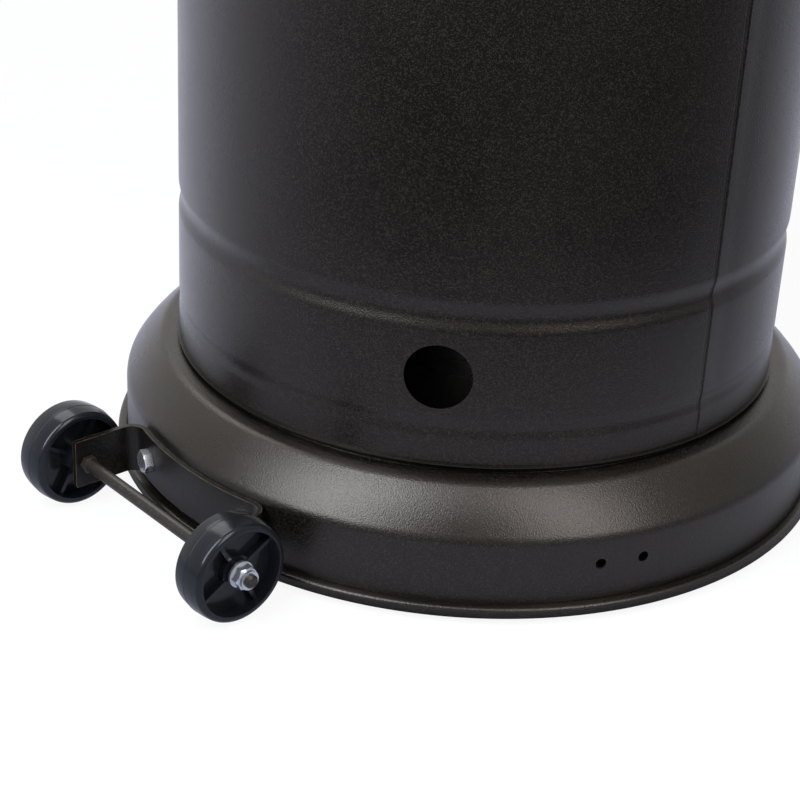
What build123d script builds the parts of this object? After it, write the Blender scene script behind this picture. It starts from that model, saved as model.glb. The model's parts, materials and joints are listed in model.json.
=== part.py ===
from build123d import *

import math
import os

# Gas patio heater: wheeled base, sliding bottle housing, post, burner head and reflector.
# Millimetres, +Z up, origin on the floor under the middle of the base, front towards -Y, wheels at +Y.

# Fits
RUN_GAP = 0.1          # radial running fit of a shaft in its hole
BODY_GAP = 0.3         # air between pieces that move past each other
SCREW_GAP = 0.2        # radial clearance of a screw in its hole
THREAD_GAP = 0.05      # nut bore over its thread, rivet in its hole
CURVE_GAP = 0.05       # air between a flat and a round face that bear on each other
CUT_L = 24.0           # length of the tool that cuts a hole through a sheet

# Bottle housing, heights from its bottom edge
HOUSING_D = 380.0
HOUSING_H = 750.0
HOUSING_SHEET = 0.8
LOW_GROOVE_Z = 25.0
LOW_GROOVE_W = 14.0
LOW_GROOVE_DEEP = 0.7
MAIN_GROOVE_Z = 93.7
MAIN_GROOVE_W = 16.0
MAIN_GROOVE_DEEP = 1.4
TOP_GROOVE_DROP = 93.7
VENT_D = 39.0
VENT_Z = 56.0
VENT_ANGLES = (130.5, 310.5)
SEAM_ANGLE = 180.9
SEAM_W = 3.2
SEAM_PROUD = 0.5

# Housing cap and its post ring
CAP_SHEET = 1.0
CAP_FIT = 0.2
CAP_SKIRT = 22.0
CAP_BEND_R = 8.0
CAP_SLOPE = 8.0
CAP_CROWN_R = 30.0
CAP_FLAT = 30.0
CAP_SCREW_ANGLES = (45.0, 135.0, 225.0, 315.0)
RING_WALL = 3.6
RING_FLANGE = 5.0
RING_LIP = 3.0
RING_EDGE_R = 1.4

# Base pan
LIP_GAP = 1.2
LIP_ROLL_R = 2.4
LIP_RISE = 1.6
LIP_INNER_DROP = 0.8
VALLEY_R = 3.0
DECK_BEND_R = 1.5
FLANGE_IN = 4.0
DECK_SHEET = 1.5
DECK_CLEAR = 1.0
SHOULDER_REACH = 25.3
LOW_BEND_R = 20.0
LOW_BEND_TURN = 34.0
TOP_BEND_R = 10.0
TOP_BEND_TURN = 28.0
SLOPE_TURN = 18.0
WALL_H = 40.5
BASE_SHEET = 1.5
RIM_ROLL_D = 8.0
RIM_STAND = 6.2
GLIDE_LIFT = 3.3
GLIDE_IN = 16.0
GLIDE_H = 14.0
GLIDE_ARC = 7.0
GLIDE_FOOT_IN = 6.0
GLIDE_BEVEL_Z = 6.0
GLIDE_ANGLES = (30.0, 150.0, 210.0, 330.0)
WALL_HOLE_D = 6.5
WALL_HOLE_Z = 30.5
WALL_HOLE_ANGLES = (157.0, 163.9)

# Wheel kit
WHEEL_ANGLE = 90.0
WHEEL_D = 62.4
WHEEL_W = 22.8
WHEEL_LIFT = 0.3
WHEEL_CORNER_R = 3.0
WHEEL_CROWN = 0.8
WHEEL_RIM_T = 5.0
WHEEL_WEB_T = 4.0
WHEEL_RIB_T = 2.4
WHEEL_RIB_DROP = 4.5
WHEEL_RIBS = 4
WHEEL_RIB_ANGLE = 30.0
HUB_D = 19.0
HUB_NOSE_D = 14.5
HUB_NOSE_L = 2.5
HUB_RECESS = 2.5
WHEEL_SIDE_GAP = 2.5
AXLE_D = 8.0
AXLE_OUT = 30.9
AXLE_TIP = 2.6
AXLE_CHAMFER = 1.0
EAR_SPAN = 135.0
EAR_TIP = 8.0
EAR_BEND_R = 9.0
EAR_CORNER_R = 1.5
BRACKET_T = 3.0
BRACKET_H = 31.0
BRACKET_Z = 28.5
BRACKET_BOLT_Z = 27.5
BRACKET_BOLT_ANGLE = 11.7

# Fasteners: thread diameter, width across flats or head diameter, head height
M8 = 8.0
M8_AF = 13.0
M8_HEAD_H = 5.3
M8_NUT_H = 6.5
LOCK_NUT_HEX_H = 5.6
LOCK_NUT_H = 8.0
LOCK_NUT_COLLAR_D = 11.6
WASHER_D = 16.0
WASHER_T = 1.6
M6 = 6.0
M6_AF = 10.0
M6_HEAD_H = 4.0
M4 = 4.0
M4_HEAD_D = 7.2
M4_HEAD_H = 2.6
RIVET_D = 3.2
RIVET_HEAD_D = 6.8
RIVET_HEAD_H = 1.6
RIVET_TAIL_D = 5.6
RIVET_TAIL_H = 1.2
THREAD_TAIL = 3.0      # thread beyond a nut or the last sheet
HEX_CHAMFER = 0.08     # of the width across flats
DOME_SHARE = 0.65      # of the height of a round head

# Post and its three supports
SUPPORT_ANGLES = {"support_rear": 90.0, "support_left": 195.0, "support_right": 345.0}
SUPPORT_W = 40.0
SUPPORT_T = 4.0
SUPPORT_CLEAR = 2.0
FOOT_LEN = 26.0
FOOT_BEND_R = 4.0
LEG_SLOPE = 50.0
LEG_BEND_R = 20.0
TAB_LEN = 70.0
TAB_CLEAR = 7.0
POST_D = 60.0
POST_T = 1.5
POST_LEN = 800.0
POST_DROP = 10.0
POST_SCREW_PITCH = 36.0

# Gas feed
HOSE_D = 13.0
HOSE_BORE_D = 6.5
HOSE_DROP = 40.0
HOSE_RISE = 8.0
REGULATOR_D = 60.0
REGULATOR_T = 26.0
REGULATOR_CAP_D = 50.0
REGULATOR_CAP_T = 7.0
REGULATOR_CAP_EDGE_R = 3.5
TAIL_L = 16.0
NECK_D = 16.0
NECK_L = 16.0
SWIVEL_AF = 30.0
SWIVEL_FLOOR = 2.5
SWIVEL_GAP = 0.5
INLET_THREAD_D = 22.9
INLET_THREAD_L = 16.0
FITTING_D = 16.0
FITTING_L = 24.0
FITTING_AF = 19.0
FITTING_HEX_L = 8.0
PIPE_D = 8.0
PIPE_BEND_R = 14.0
PIPE_LEAD = 14.0

# Head: sleeve, control housing and controls
SLEEVE_LEN = 55.0
SLEEVE_T = 2.0
SLEEVE_PLATE_R = 48.0
SLEEVE_PLATE_T = 3.0
SLEEVE_HOLE_R = 20.0
SLEEVE_SCREW_ANGLES = (30.0, 150.0, 270.0)
DRUM_D = 236.0
DRUM_H = 112.0
DRUM_SHEET = 1.2
DRUM_CORNER_R = 6.0
DRUM_FLANGE = 18.0
FUNNEL_FOOT_R = 46.0
FUNNEL_SLOPE = 55.0
FUNNEL_BEND_R = 8.0
FLAT_DEPTH = 20.0
SHELF_MARGIN = 2.0
PANEL_T = 1.5
PANEL_FLANGE = 14.0
PANEL_FLANGE_INSET = 16.0
PANEL_SCREW_X = 42.0
CONTROL_RISE = 56.0
VALVE_W = 36.0
VALVE_DEPTH = 46.0
VALVE_H = 44.0
VALVE_EDGE_R = 3.0
VALVE_INLET_BACK = 24.0
VALVE_BORE_L = 34.0
PLUNGER_D = 11.0
PLUNGER_L = 12.0
PLUNGER_FREE = 5.0
STEM_D = 8.0
KNOB_TRAVEL_ROOM = 3.6
KNOB_D = 38.0
KNOB_L = 20.0
KNOB_SKIRT_D = 46.0
KNOB_SKIRT_T = 4.0
KNOB_BORE_L = 14.0
KNOB_EDGE_R = 2.5
KNOB_POINTER_L = 12.5
KNOB_POINTER_W = 5.0
KNOB_POINTER_H = 2.0
KNOB_FLUTES = 12
KNOB_FLUTE_D = 5.0
IGNITER_X = 42.0
IGNITER_D = 18.0
IGNITER_L = 44.0
BEZEL_D = 26.0
BEZEL_T = 2.5
BUTTON_D = 13.0
BUTTON_PROUD = 7.0
BUTTON_L = 18.0
BUTTON_ROOM = 8.0
BUTTON_EDGE_R = 1.3
TILT_D = 14.0
TILT_H = 22.0
TILT_EDGE_R = 1.8

# Burner and emitter
JET_LEAD = 2.0
JET_AF = 14.0
JET_HEX_H = 8.0
JET_NOSE_D = 8.0
JET_NOSE_H = 8.0
TUBE_D = 32.0
TUBE_T = 1.2
TUBE_FLOOR = 2.0
TUBE_INTO_HEAD = 8.0
AIR_SLOT_W = 9.0
AIR_SLOT_H = 16.0
AIR_SLOT_Z = 4.0
PLATE_HOLE_GAP = 4.0
PLATE_OVERHANG = 6.2
PLATE_SHEET = 1.2
PLATE_BEND_R = 4.0
PLATE_SKIRT = 10.0
DECK_SCREW_ANGLES = (45.0, 135.0, 225.0, 315.0)
DECK_SCREW_IN = 7.0
BURNER_D = 140.0
BURNER_H = 26.0
BURNER_T = 1.5
BURNER_EDGE_R = 4.0
PORT_D = 4.0
PORTS = 18
PORT_DROP = 9.0
PILOT_R = 84.0
PILOT_D = 8.0
PILOT_BORE_D = 4.0
PILOT_H = 38.0
PROBE_D = 3.2
PROBE_H = 46.0
ELECTRODE_D = 6.0
ELECTRODE_TIP_D = 2.0
ELECTRODE_H = 28.0
PILOT_STEP = 10.0
SCREEN_D = 200.0
SCREEN_T = 1.0
SCREEN_H = 300.0
SCREEN_CAP_SHEET = 1.0
SCREEN_CAP_FIT = 0.3
SCREEN_CAP_BEND_IN = 0.25
SCREEN_CAP_SKIRT = 14.0

# Reflector
REFLECTOR_D = 813.0
REFLECTOR_SHEET = 0.8
REFLECTOR_SLOPE = 16.0
REFLECTOR_BEND_R = 40.0
REFLECTOR_FLAT_R = 95.0
REFLECTOR_HOLE_R = 45.0
EDGE_TURN = 60.0
EDGE_BEND_R = 8.0
EDGE_FLANGE = 10.0
PANELS = 3
PANEL_GAP_DEG = 0.1
STRIP_DEG = 7.0
STRIP_INSET = 14.0
RIVET_DEG = 1.9
RIVET_INSET = 30.0
STUD_R = 62.0
STUD_ANGLES = (30.0, 150.0, 270.0)
SPACER_D = 12.0
SPACER_L = 140.0
CENTRE_PLATE_D = 176.0
CENTRE_PLATE_T = 1.2
WING_HUB_D = 11.0
WING_HUB_TOP_D = 8.8
WING_HUB_H = 8.0
WING_SPAN = 30.0
WING_H = 14.0
WING_T = 2.2
WING_ROOT_R = 3.6
WING_ROOT_Z = 2.0
WING_TIP_Z = 7.5
WING_TIP_L = 4.5


def cosd(angle):
    return math.cos(math.radians(angle))


def sind(angle):
    return math.sin(math.radians(angle))


# Radii and heights that follow from the sizes above
housing_r = HOUSING_D / 2
lip_inner_r = housing_r + LIP_GAP
lip_outer_r = lip_inner_r + 2 * LIP_ROLL_R
top_turn = LOW_BEND_TURN + SLOPE_TURN + TOP_BEND_TURN
wall_r = lip_outer_r + VALLEY_R * (1 - cosd(top_turn)) + SHOULDER_REACH
rim_r = wall_r + RIM_STAND
slope_end = LOW_BEND_TURN + SLOPE_TURN
low_reach = LOW_BEND_R * (1 - cosd(LOW_BEND_TURN))
top_reach = TOP_BEND_R * (cosd(slope_end) - cosd(top_turn))
slope_r = (SHOULDER_REACH - low_reach - top_reach) / (cosd(LOW_BEND_TURN) - cosd(slope_end))
shoulder_rise = (LOW_BEND_R * sind(LOW_BEND_TURN) + slope_r * (sind(slope_end) - sind(LOW_BEND_TURN))
                 + TOP_BEND_R * (sind(top_turn) - sind(slope_end)))
lip_top = GLIDE_LIFT + WALL_H + shoulder_rise + VALLEY_R * sind(top_turn) + LIP_RISE + LIP_ROLL_R
deck_z = lip_top - LIP_ROLL_R - LIP_INNER_DROP - DECK_BEND_R
deck_top = deck_z + DECK_SHEET
housing_z = deck_z + BODY_GAP
housing_top = housing_z + HOUSING_H
cap_screw_z = housing_top - CAP_SKIRT / 2

wall_hole_z = GLIDE_LIFT + WALL_HOLE_Z
bracket_z = GLIDE_LIFT + BRACKET_Z
bracket_bolt_z = GLIDE_LIFT + BRACKET_BOLT_Z
bracket_r = wall_r + CURVE_GAP
axle_y = wall_r + AXLE_OUT
axle_z = WHEEL_D / 2 + WHEEL_LIFT
ear_out = EAR_SPAN / 2
wheel_in = ear_out + WHEEL_SIDE_GAP
wheel_out = wheel_in + WHEEL_W
hub_in = ear_out + BODY_GAP
hub_out = wheel_out - HUB_RECESS
washer_in = hub_out + BODY_GAP
nut_in = washer_in + WASHER_T
axle_end = nut_in + LOCK_NUT_H + AXLE_TIP

post_r = POST_D / 2
tab_r = post_r + CURVE_GAP
housing_inner_r = housing_r - HOUSING_SHEET
deck_r = housing_inner_r - DECK_CLEAR
foot_out_r = math.sqrt((housing_inner_r - SUPPORT_CLEAR) ** 2 - (SUPPORT_W / 2) ** 2)
leg_r = foot_out_r - FOOT_LEN
leg_bend_reach = 2 * LEG_BEND_R * (1 - cosd(LEG_SLOPE))
leg_slope_len = (leg_r - tab_r - leg_bend_reach) / sind(LEG_SLOPE)
leg_slope_rise = leg_slope_len * cosd(LEG_SLOPE) + 2 * LEG_BEND_R * sind(LEG_SLOPE)
foot_bend = FOOT_BEND_R + SUPPORT_T
foot_bolt_r = foot_out_r - (FOOT_LEN - foot_bend) / 2
tab_top = housing_top - TAB_CLEAR
tab_bottom = tab_top - TAB_LEN
leg_straight = tab_bottom - leg_slope_rise - deck_top - foot_bend
post_z = tab_bottom - POST_DROP
post_top = post_z + POST_LEN
tab_middle = tab_bottom + TAB_LEN / 2
post_screw_zs = (tab_middle - POST_SCREW_PITCH / 2, tab_middle + POST_SCREW_PITCH / 2)

sleeve_screw_z = post_top - SLEEVE_LEN / 2
drum_z = post_top + SLEEVE_PLATE_T
drum_r = DRUM_D / 2
flat_y = drum_r - FLAT_DEPTH
shelf_r = flat_y - SHELF_MARGIN
funnel_len = (shelf_r - FUNNEL_FOOT_R - 2 * FUNNEL_BEND_R * sind(FUNNEL_SLOPE)) / cosd(FUNNEL_SLOPE)
shelf_z = drum_z + 2 * FUNNEL_BEND_R * (1 - cosd(FUNNEL_SLOPE)) + funnel_len * sind(FUNNEL_SLOPE)
shelf_top = shelf_z + DRUM_SHEET
drum_top = shelf_z + DRUM_H
deck_screw_r = drum_r - DRUM_CORNER_R - DECK_SCREW_IN
plate_top = drum_top + PLATE_SHEET
panel_front = -flat_y - PANEL_T
panel_half_w = math.sqrt(drum_r ** 2 - flat_y ** 2)
control_z = shelf_z + CONTROL_RISE
valve_back = -flat_y + VALVE_DEPTH
valve_inlet_y = -flat_y + VALVE_INLET_BACK
stem_in = -flat_y + VALVE_BORE_L - PLUNGER_FREE - PLUNGER_L
knob_back = panel_front - KNOB_TRAVEL_ROOM
hose_top = drum_z + HOSE_RISE
fitting_top = hose_top + FITTING_L
hose_bottom = post_z - HOSE_DROP
regulator_z = hose_bottom - TAIL_L - REGULATOR_D / 2
neck_end = regulator_z - REGULATOR_D / 2 - NECK_L
swivel_top = regulator_z - REGULATOR_D / 2 - SWIVEL_GAP
jet_z = control_z + PIPE_BEND_R + JET_LEAD
tube_z = jet_z + JET_HEX_H
screen_top = plate_top + SCREEN_H
screen_cap_top = screen_top + SCREEN_CAP_SHEET
reflector_z = screen_cap_top + SPACER_L
centre_plate_z = reflector_z + REFLECTOR_SHEET
edge_end = REFLECTOR_SLOPE + EDGE_TURN
edge_reach = EDGE_BEND_R * (sind(edge_end) - sind(REFLECTOR_SLOPE)) + EDGE_FLANGE * cosd(edge_end)
slope_start_r = REFLECTOR_FLAT_R + REFLECTOR_BEND_R * sind(REFLECTOR_SLOPE)
slope_start_z = reflector_z - REFLECTOR_BEND_R * (1 - cosd(REFLECTOR_SLOPE))
reflector_slope_len = (REFLECTOR_D / 2 - slope_start_r - edge_reach) / cosd(REFLECTOR_SLOPE)
seam_angles = [STUD_ANGLES[0] + 360 / PANELS * (k + 0.5) for k in range(PANELS)]


def sheet_edges(start, heading, moves, side):
    """One face of a bent sheet in the X-Z plane: a move is a length, or a bend (radius, left turn)."""
    x, z = start
    edges = []
    for move in moves:
        left = (-sind(heading), cosd(heading))
        if isinstance(move, tuple):
            radius, turn = move
            sign = math.copysign(1, turn)
            centre = (x + sign * radius * left[0], z + sign * radius * left[1])
            points = []
            for part in (0, 0.5, 1):
                angle = heading + part * turn
                reach = -sign * (radius - sign * side)
                points.append((centre[0] - reach * sind(angle), 0, centre[1] + reach * cosd(angle)))
            edges.append(Edge.make_three_point_arc(*points))
            x = centre[0] + sign * radius * sind(heading + turn)
            z = centre[1] - sign * radius * cosd(heading + turn)
            heading += turn
        else:
            ahead = (x + move * cosd(heading), z + move * sind(heading))
            begin = (x + side * left[0], 0, z + side * left[1])
            end = (ahead[0] + side * left[0], 0, ahead[1] + side * left[1])
            edges.append(Edge.make_line(begin, end))
            x, z = ahead
    return edges


def sheet_face(start, heading, moves, side):
    """Section of a bent sheet whose thickness lies on the left of its path, or right if negative."""
    near = sheet_edges(start, heading, moves, 0)
    far = sheet_edges(start, heading, moves, side)
    ends = [Edge.make_line(near[-1] @ 1, far[-1] @ 1), Edge.make_line(far[0] @ 0, near[0] @ 0)]
    return make_face(near + far + ends)


def spun(start, heading, moves, side, arc=360.0):
    return revolve(sheet_face(start, heading, moves, side), Axis.Z, arc)


def rod(radius, low, high):
    """Upright cylinder between two heights."""
    return Pos(0, 0, low) * Cylinder(radius, high - low, align=(Align.CENTER, Align.CENTER, Align.MIN))


def tube(outer, inner, low, high):
    return rod(outer, low, high) - rod(inner, low, high)


def block(x_range, y_range, z_range):
    size = [high - low for low, high in (x_range, y_range, z_range)]
    middle = [(high + low) / 2 for low, high in (x_range, y_range, z_range)]
    return Pos(*middle) * Box(*size)


def facing(radius, angle, z):
    """Plane on a round wall, looking outwards."""
    return Plane((radius * cosd(angle), radius * sind(angle), z), z_dir=(cosd(angle), sind(angle), 0))


def upright(radius, angle, z):
    return Pos(radius * cosd(angle), radius * sind(angle), z)


def to_back(x, y, z):
    """Place whose local Z runs from the front to the back of the heater."""
    return Plane((x, y, z), x_dir=(1, 0, 0), z_dir=(0, 1, 0))


def to_front(x, y, z):
    """Place whose local Z runs to the front, with local Y up."""
    return Plane((x, y, z), x_dir=(1, 0, 0), z_dir=(0, -1, 0))


def hole(radius):
    return Cylinder(radius, CUT_L)


def group(pieces):
    return Compound([solid for piece in pieces for solid in piece.solids()])


def hexagon(across, height):
    """Upright hexagon with its top corners turned off."""
    blank = extrude(RegularPolygon(across / 2, 6, major_radius=False), height)
    turned = rod(across / math.sqrt(3), 0, height)
    return blank & chamfer(turned.edges().group_by(Axis.Z)[-1], HEX_CHAMFER * across)


def hex_bolt(thread, across, head, length):
    return hexagon(across, head) + rod(thread / 2, -length, 0)


def hex_nut(thread, across, height):
    return hexagon(across, height) - rod(thread / 2 + THREAD_GAP, 0, height)


def pan_screw(thread, head_d, head_h, length):
    head = rod(head_d / 2, 0, head_h)
    head = fillet(head.edges().group_by(Axis.Z)[-1], DOME_SHARE * head_h)
    return head + rod(thread / 2, -length, 0)


def groove(width, deep):
    """Bends of a rolled groove that goes in to the left of the path and comes back."""
    turn = 2 * math.degrees(math.atan(2 * deep / width))
    radius = width / (4 * sind(turn))
    return [(radius, turn), (radius, -2 * turn), (radius, turn)]


def base_pan():
    roll_r = RIM_ROLL_D / 2
    roll_z = GLIDE_LIFT + roll_r
    moves = [
        WALL_H - roll_r,
        (LOW_BEND_R, LOW_BEND_TURN),
        (slope_r, SLOPE_TURN),
        (TOP_BEND_R, TOP_BEND_TURN),
        (VALLEY_R, -top_turn),
        LIP_RISE,
        (LIP_ROLL_R, 180),
        LIP_INNER_DROP,
        (DECK_BEND_R, -90),
        FLANGE_IN,
    ]
    pan = spun((wall_r, roll_z), 90, moves, BASE_SHEET)
    roll = Plane.XZ * (Pos(rim_r - roll_r, roll_z) * Circle(roll_r))
    pan += revolve(roll, Axis.Z)
    for angle in WALL_HOLE_ANGLES:
        pan -= facing(wall_r, angle, wall_hole_z) * hole(WALL_HOLE_D / 2)
    for angle in bracket_bolt_angles():
        pan -= facing(wall_r, angle, bracket_bolt_z) * hole(M8 / 2 + SCREW_GAP)
    return pan


def bottle_deck():
    """Plate on the flange of the base, which carries the bottle and the supports."""
    plate = rod(deck_r, deck_z, deck_top)
    for angle in SUPPORT_ANGLES.values():
        plate -= upright(foot_bolt_r, angle, deck_top) * hole(M8 / 2 + SCREW_GAP)
    return plate


def glide_pads():
    """Moulded pads inside the rolled rim, which the base stands on."""
    outer = rim_r - RIM_ROLL_D - BODY_GAP
    inner = outer - GLIDE_IN
    outline = Polyline(
        (inner, 0, 0),
        (outer - GLIDE_FOOT_IN, 0, 0),
        (outer, 0, GLIDE_BEVEL_Z),
        (outer, 0, GLIDE_H),
        (inner, 0, GLIDE_H),
        close=True,
    )
    pad = revolve(make_face(outline), Axis.Z, GLIDE_ARC)
    return group([Rot(0, 0, angle - GLIDE_ARC / 2) * pad for angle in GLIDE_ANGLES])


def bracket_bolt_angles():
    return (WHEEL_ANGLE - BRACKET_BOLT_ANGLE, WHEEL_ANGLE + BRACKET_BOLT_ANGLE)


def bracket_plan():
    """Plan of the bracket: round the wall, a bend at each end, then straight out along the ears."""
    mid_r = bracket_r + BRACKET_T / 2
    bend_x = ear_out - BRACKET_T / 2 - EAR_BEND_R
    bend_y = math.sqrt((mid_r + EAR_BEND_R) ** 2 - bend_x ** 2)
    lean = math.degrees(math.atan2(bend_x, bend_y))
    middle = 45 + lean / 2
    tip_y = axle_y + EAR_TIP
    edges = []
    for offset in (-BRACKET_T / 2, BRACKET_T / 2):
        wall = mid_r - offset
        bend = EAR_BEND_R + offset
        foot = (wall * sind(lean), wall * cosd(lean))
        edges.append(Edge.make_three_point_arc((-foot[0], foot[1]), (0, wall), foot))
        for hand in (-1, 1):
            begin = (hand * foot[0], foot[1])
            turn = (hand * (bend_x + bend * cosd(middle)), bend_y - bend * sind(middle))
            end = (hand * (bend_x + bend), bend_y)
            edges.append(Edge.make_three_point_arc(begin, turn, end))
            edges.append(Edge.make_line(end, (end[0], tip_y)))
    for hand in (-1, 1):
        inner = hand * (ear_out - BRACKET_T)
        edges.append(Edge.make_line((inner, tip_y), (hand * ear_out, tip_y)))
    return make_face(edges)


def wheel_bracket():
    bar = Pos(0, 0, bracket_z - BRACKET_H / 2) * extrude(bracket_plan(), BRACKET_H)
    corners = bar.edges().filter_by(Axis.X).group_by(Axis.Y)[-1]
    bar = fillet(corners, EAR_CORNER_R)
    bar -= across(1) * Cylinder(AXLE_D / 2 + RUN_GAP, EAR_SPAN)
    bar = Rot(0, 0, WHEEL_ANGLE - 90) * bar
    for angle in bracket_bolt_angles():
        bar -= facing(bracket_r, angle, bracket_bolt_z) * hole(M8 / 2 + SCREW_GAP)
    return bar


def bracket_bolts():
    seat = bracket_r + BRACKET_T + CURVE_GAP
    length = seat - bracket_nut_r() + M8_NUT_H + THREAD_TAIL
    bolt = hex_bolt(M8, M8_AF, M8_HEAD_H, length)
    return group([facing(seat, angle, bracket_bolt_z) * bolt for angle in bracket_bolt_angles()])


def bracket_nut_r():
    """Where a nut's flat face meets the hollow side of the wall."""
    corner = M8_AF / math.sqrt(3)
    return math.sqrt((wall_r - BASE_SHEET) ** 2 - corner ** 2) - CURVE_GAP


def bracket_nuts():
    nut = Rot(180, 0, 0) * hex_nut(M8, M8_AF, M8_NUT_H)
    return group([facing(bracket_nut_r(), angle, bracket_bolt_z) * nut for angle in bracket_bolt_angles()])


def across(hand):
    """Place on the axle whose local Z runs out to one side: 1 right, -1 left."""
    return Plane((0, axle_y, axle_z), x_dir=(0, 1, 0), z_dir=(hand, 0, 0))


def axle_rod():
    blank = rod(AXLE_D / 2, -axle_end, axle_end)
    blank = chamfer(blank.edges().filter_by(GeomType.CIRCLE), AXLE_CHAMFER)
    return across(1) * blank


def wheel_rim():
    radius = WHEEL_D / 2
    side_r = radius - WHEEL_CROWN
    inner = radius - WHEEL_RIM_T
    middle = (wheel_in + wheel_out) / 2
    corner = WHEEL_CORNER_R
    soft = corner * (1 - sind(45))
    edges = []
    for face_z, inward in ((wheel_in, 1), (wheel_out, -1)):
        start = (side_r - corner, 0, face_z)
        bend = (side_r - soft, 0, face_z + inward * soft)
        tread = (side_r, 0, face_z + inward * corner)
        edges.append(Edge.make_line((inner, 0, face_z), start))
        edges.append(Edge.make_three_point_arc(start, bend, tread))
    low = edges[1] @ 1
    high = edges[3] @ 1
    edges.append(Edge.make_three_point_arc(low, (radius, 0, middle), high))
    edges.append(Edge.make_line((inner, 0, wheel_in), (inner, 0, wheel_out)))
    return revolve(make_face(edges), Axis.Z)


def wheel(hand):
    into_rim = WHEEL_D / 2 - WHEEL_RIM_T / 2
    middle = (wheel_in + wheel_out) / 2
    body = wheel_rim()
    body += rod(into_rim, middle - WHEEL_WEB_T / 2, middle + WHEEL_WEB_T / 2)
    body += rod(HUB_D / 2, hub_in, hub_out - HUB_NOSE_L)
    body += rod(HUB_NOSE_D / 2, hub_out - HUB_NOSE_L, hub_out)
    rib_span = (wheel_in + WHEEL_RIB_DROP, wheel_out - WHEEL_RIB_DROP)
    for k in range(WHEEL_RIBS):
        rib = block((0, into_rim), (-WHEEL_RIB_T / 2, WHEEL_RIB_T / 2), rib_span)
        body += Rot(0, 0, 360 / WHEEL_RIBS * k + WHEEL_RIB_ANGLE) * rib
    body -= rod(HUB_NOSE_D / 2, hub_out, wheel_out)
    body -= rod(AXLE_D / 2 + RUN_GAP, hub_in, wheel_out)
    return across(hand) * body


def axle_washers():
    washer = tube(WASHER_D / 2, AXLE_D / 2 + SCREW_GAP, washer_in, nut_in)
    return group([across(hand) * washer for hand in (-1, 1)])


def axle_nuts():
    nut = Pos(0, 0, nut_in) * hexagon(M8_AF, LOCK_NUT_HEX_H)
    nut += rod(LOCK_NUT_COLLAR_D / 2, nut_in, nut_in + LOCK_NUT_H)
    nut -= rod(AXLE_D / 2 + THREAD_GAP, nut_in, nut_in + LOCK_NUT_H)
    return group([across(hand) * nut for hand in (-1, 1)])


def support(angle):
    moves = [
        FOOT_LEN - foot_bend,
        (foot_bend, -90),
        leg_straight,
        (LEG_BEND_R, LEG_SLOPE),
        leg_slope_len,
        (LEG_BEND_R, -LEG_SLOPE),
        TAB_LEN,
    ]
    bar = extrude(sheet_face((foot_out_r, deck_top), 180, moves, -SUPPORT_T), SUPPORT_W / 2, both=True)
    bar -= upright(foot_bolt_r, 0, deck_top) * hole(M8 / 2 + SCREW_GAP)
    for z in post_screw_zs:
        bar -= facing(tab_r, 0, z) * hole(M6 / 2 + SCREW_GAP)
    return Rot(0, 0, angle) * bar


def support_bolts():
    length = SUPPORT_T + DECK_SHEET + M8_NUT_H + THREAD_TAIL
    bolt = hex_bolt(M8, M8_AF, M8_HEAD_H, length)
    seat = deck_top + SUPPORT_T
    return group([upright(foot_bolt_r, angle, seat) * bolt for angle in SUPPORT_ANGLES.values()])


def support_nuts():
    nut = hex_nut(M8, M8_AF, M8_NUT_H)
    seat = deck_z - M8_NUT_H
    return group([upright(foot_bolt_r, angle, seat) * nut for angle in SUPPORT_ANGLES.values()])


def post():
    pipe = tube(post_r, post_r - POST_T, post_z, post_top)
    for angle in SUPPORT_ANGLES.values():
        for z in post_screw_zs:
            pipe -= facing(post_r, angle, z) * hole(M6 / 2 + THREAD_GAP)
    for angle in SLEEVE_SCREW_ANGLES:
        pipe -= facing(post_r, angle, sleeve_screw_z) * hole(M4 / 2 + THREAD_GAP)
    return pipe


def post_screws():
    screw = hex_bolt(M6, M6_AF, M6_HEAD_H, SUPPORT_T + CURVE_GAP + POST_T + THREAD_TAIL)
    places = []
    for angle in SUPPORT_ANGLES.values():
        places += [facing(tab_r + SUPPORT_T, angle, z) for z in post_screw_zs]
    return group([place * screw for place in places])


def housing_path(top_straight):
    low_end = LOW_GROOVE_Z + LOW_GROOVE_W / 2
    main_end = MAIN_GROOVE_Z + MAIN_GROOVE_W / 2
    top_start = HOUSING_H - TOP_GROOVE_DROP - MAIN_GROOVE_W / 2
    return [
        LOW_GROOVE_Z - LOW_GROOVE_W / 2,
        *groove(LOW_GROOVE_W, LOW_GROOVE_DEEP),
        MAIN_GROOVE_Z - MAIN_GROOVE_W / 2 - low_end,
        *groove(MAIN_GROOVE_W, MAIN_GROOVE_DEEP),
        top_start - main_end,
        *groove(MAIN_GROOVE_W, MAIN_GROOVE_DEEP),
        top_straight,
    ]


def housing_shell():
    to_top = TOP_GROOVE_DROP - MAIN_GROOVE_W / 2
    shell = spun((housing_r, housing_z), 90, housing_path(to_top), HOUSING_SHEET)
    seam_arc = math.degrees(SEAM_W / housing_r)
    under_cap = housing_path(to_top - CAP_SKIRT - LIP_GAP)
    seam = spun((housing_r, housing_z), 90, under_cap, -SEAM_PROUD, seam_arc)
    shell += Rot(0, 0, SEAM_ANGLE - seam_arc / 2) * seam
    for angle in VENT_ANGLES:
        shell -= facing(housing_r, angle, housing_z + VENT_Z) * Cylinder(VENT_D / 2, VENT_D)
    for angle in CAP_SCREW_ANGLES:
        shell -= facing(housing_r, angle, cap_screw_z) * hole(M4 / 2 + SCREW_GAP)
    return shell


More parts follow.
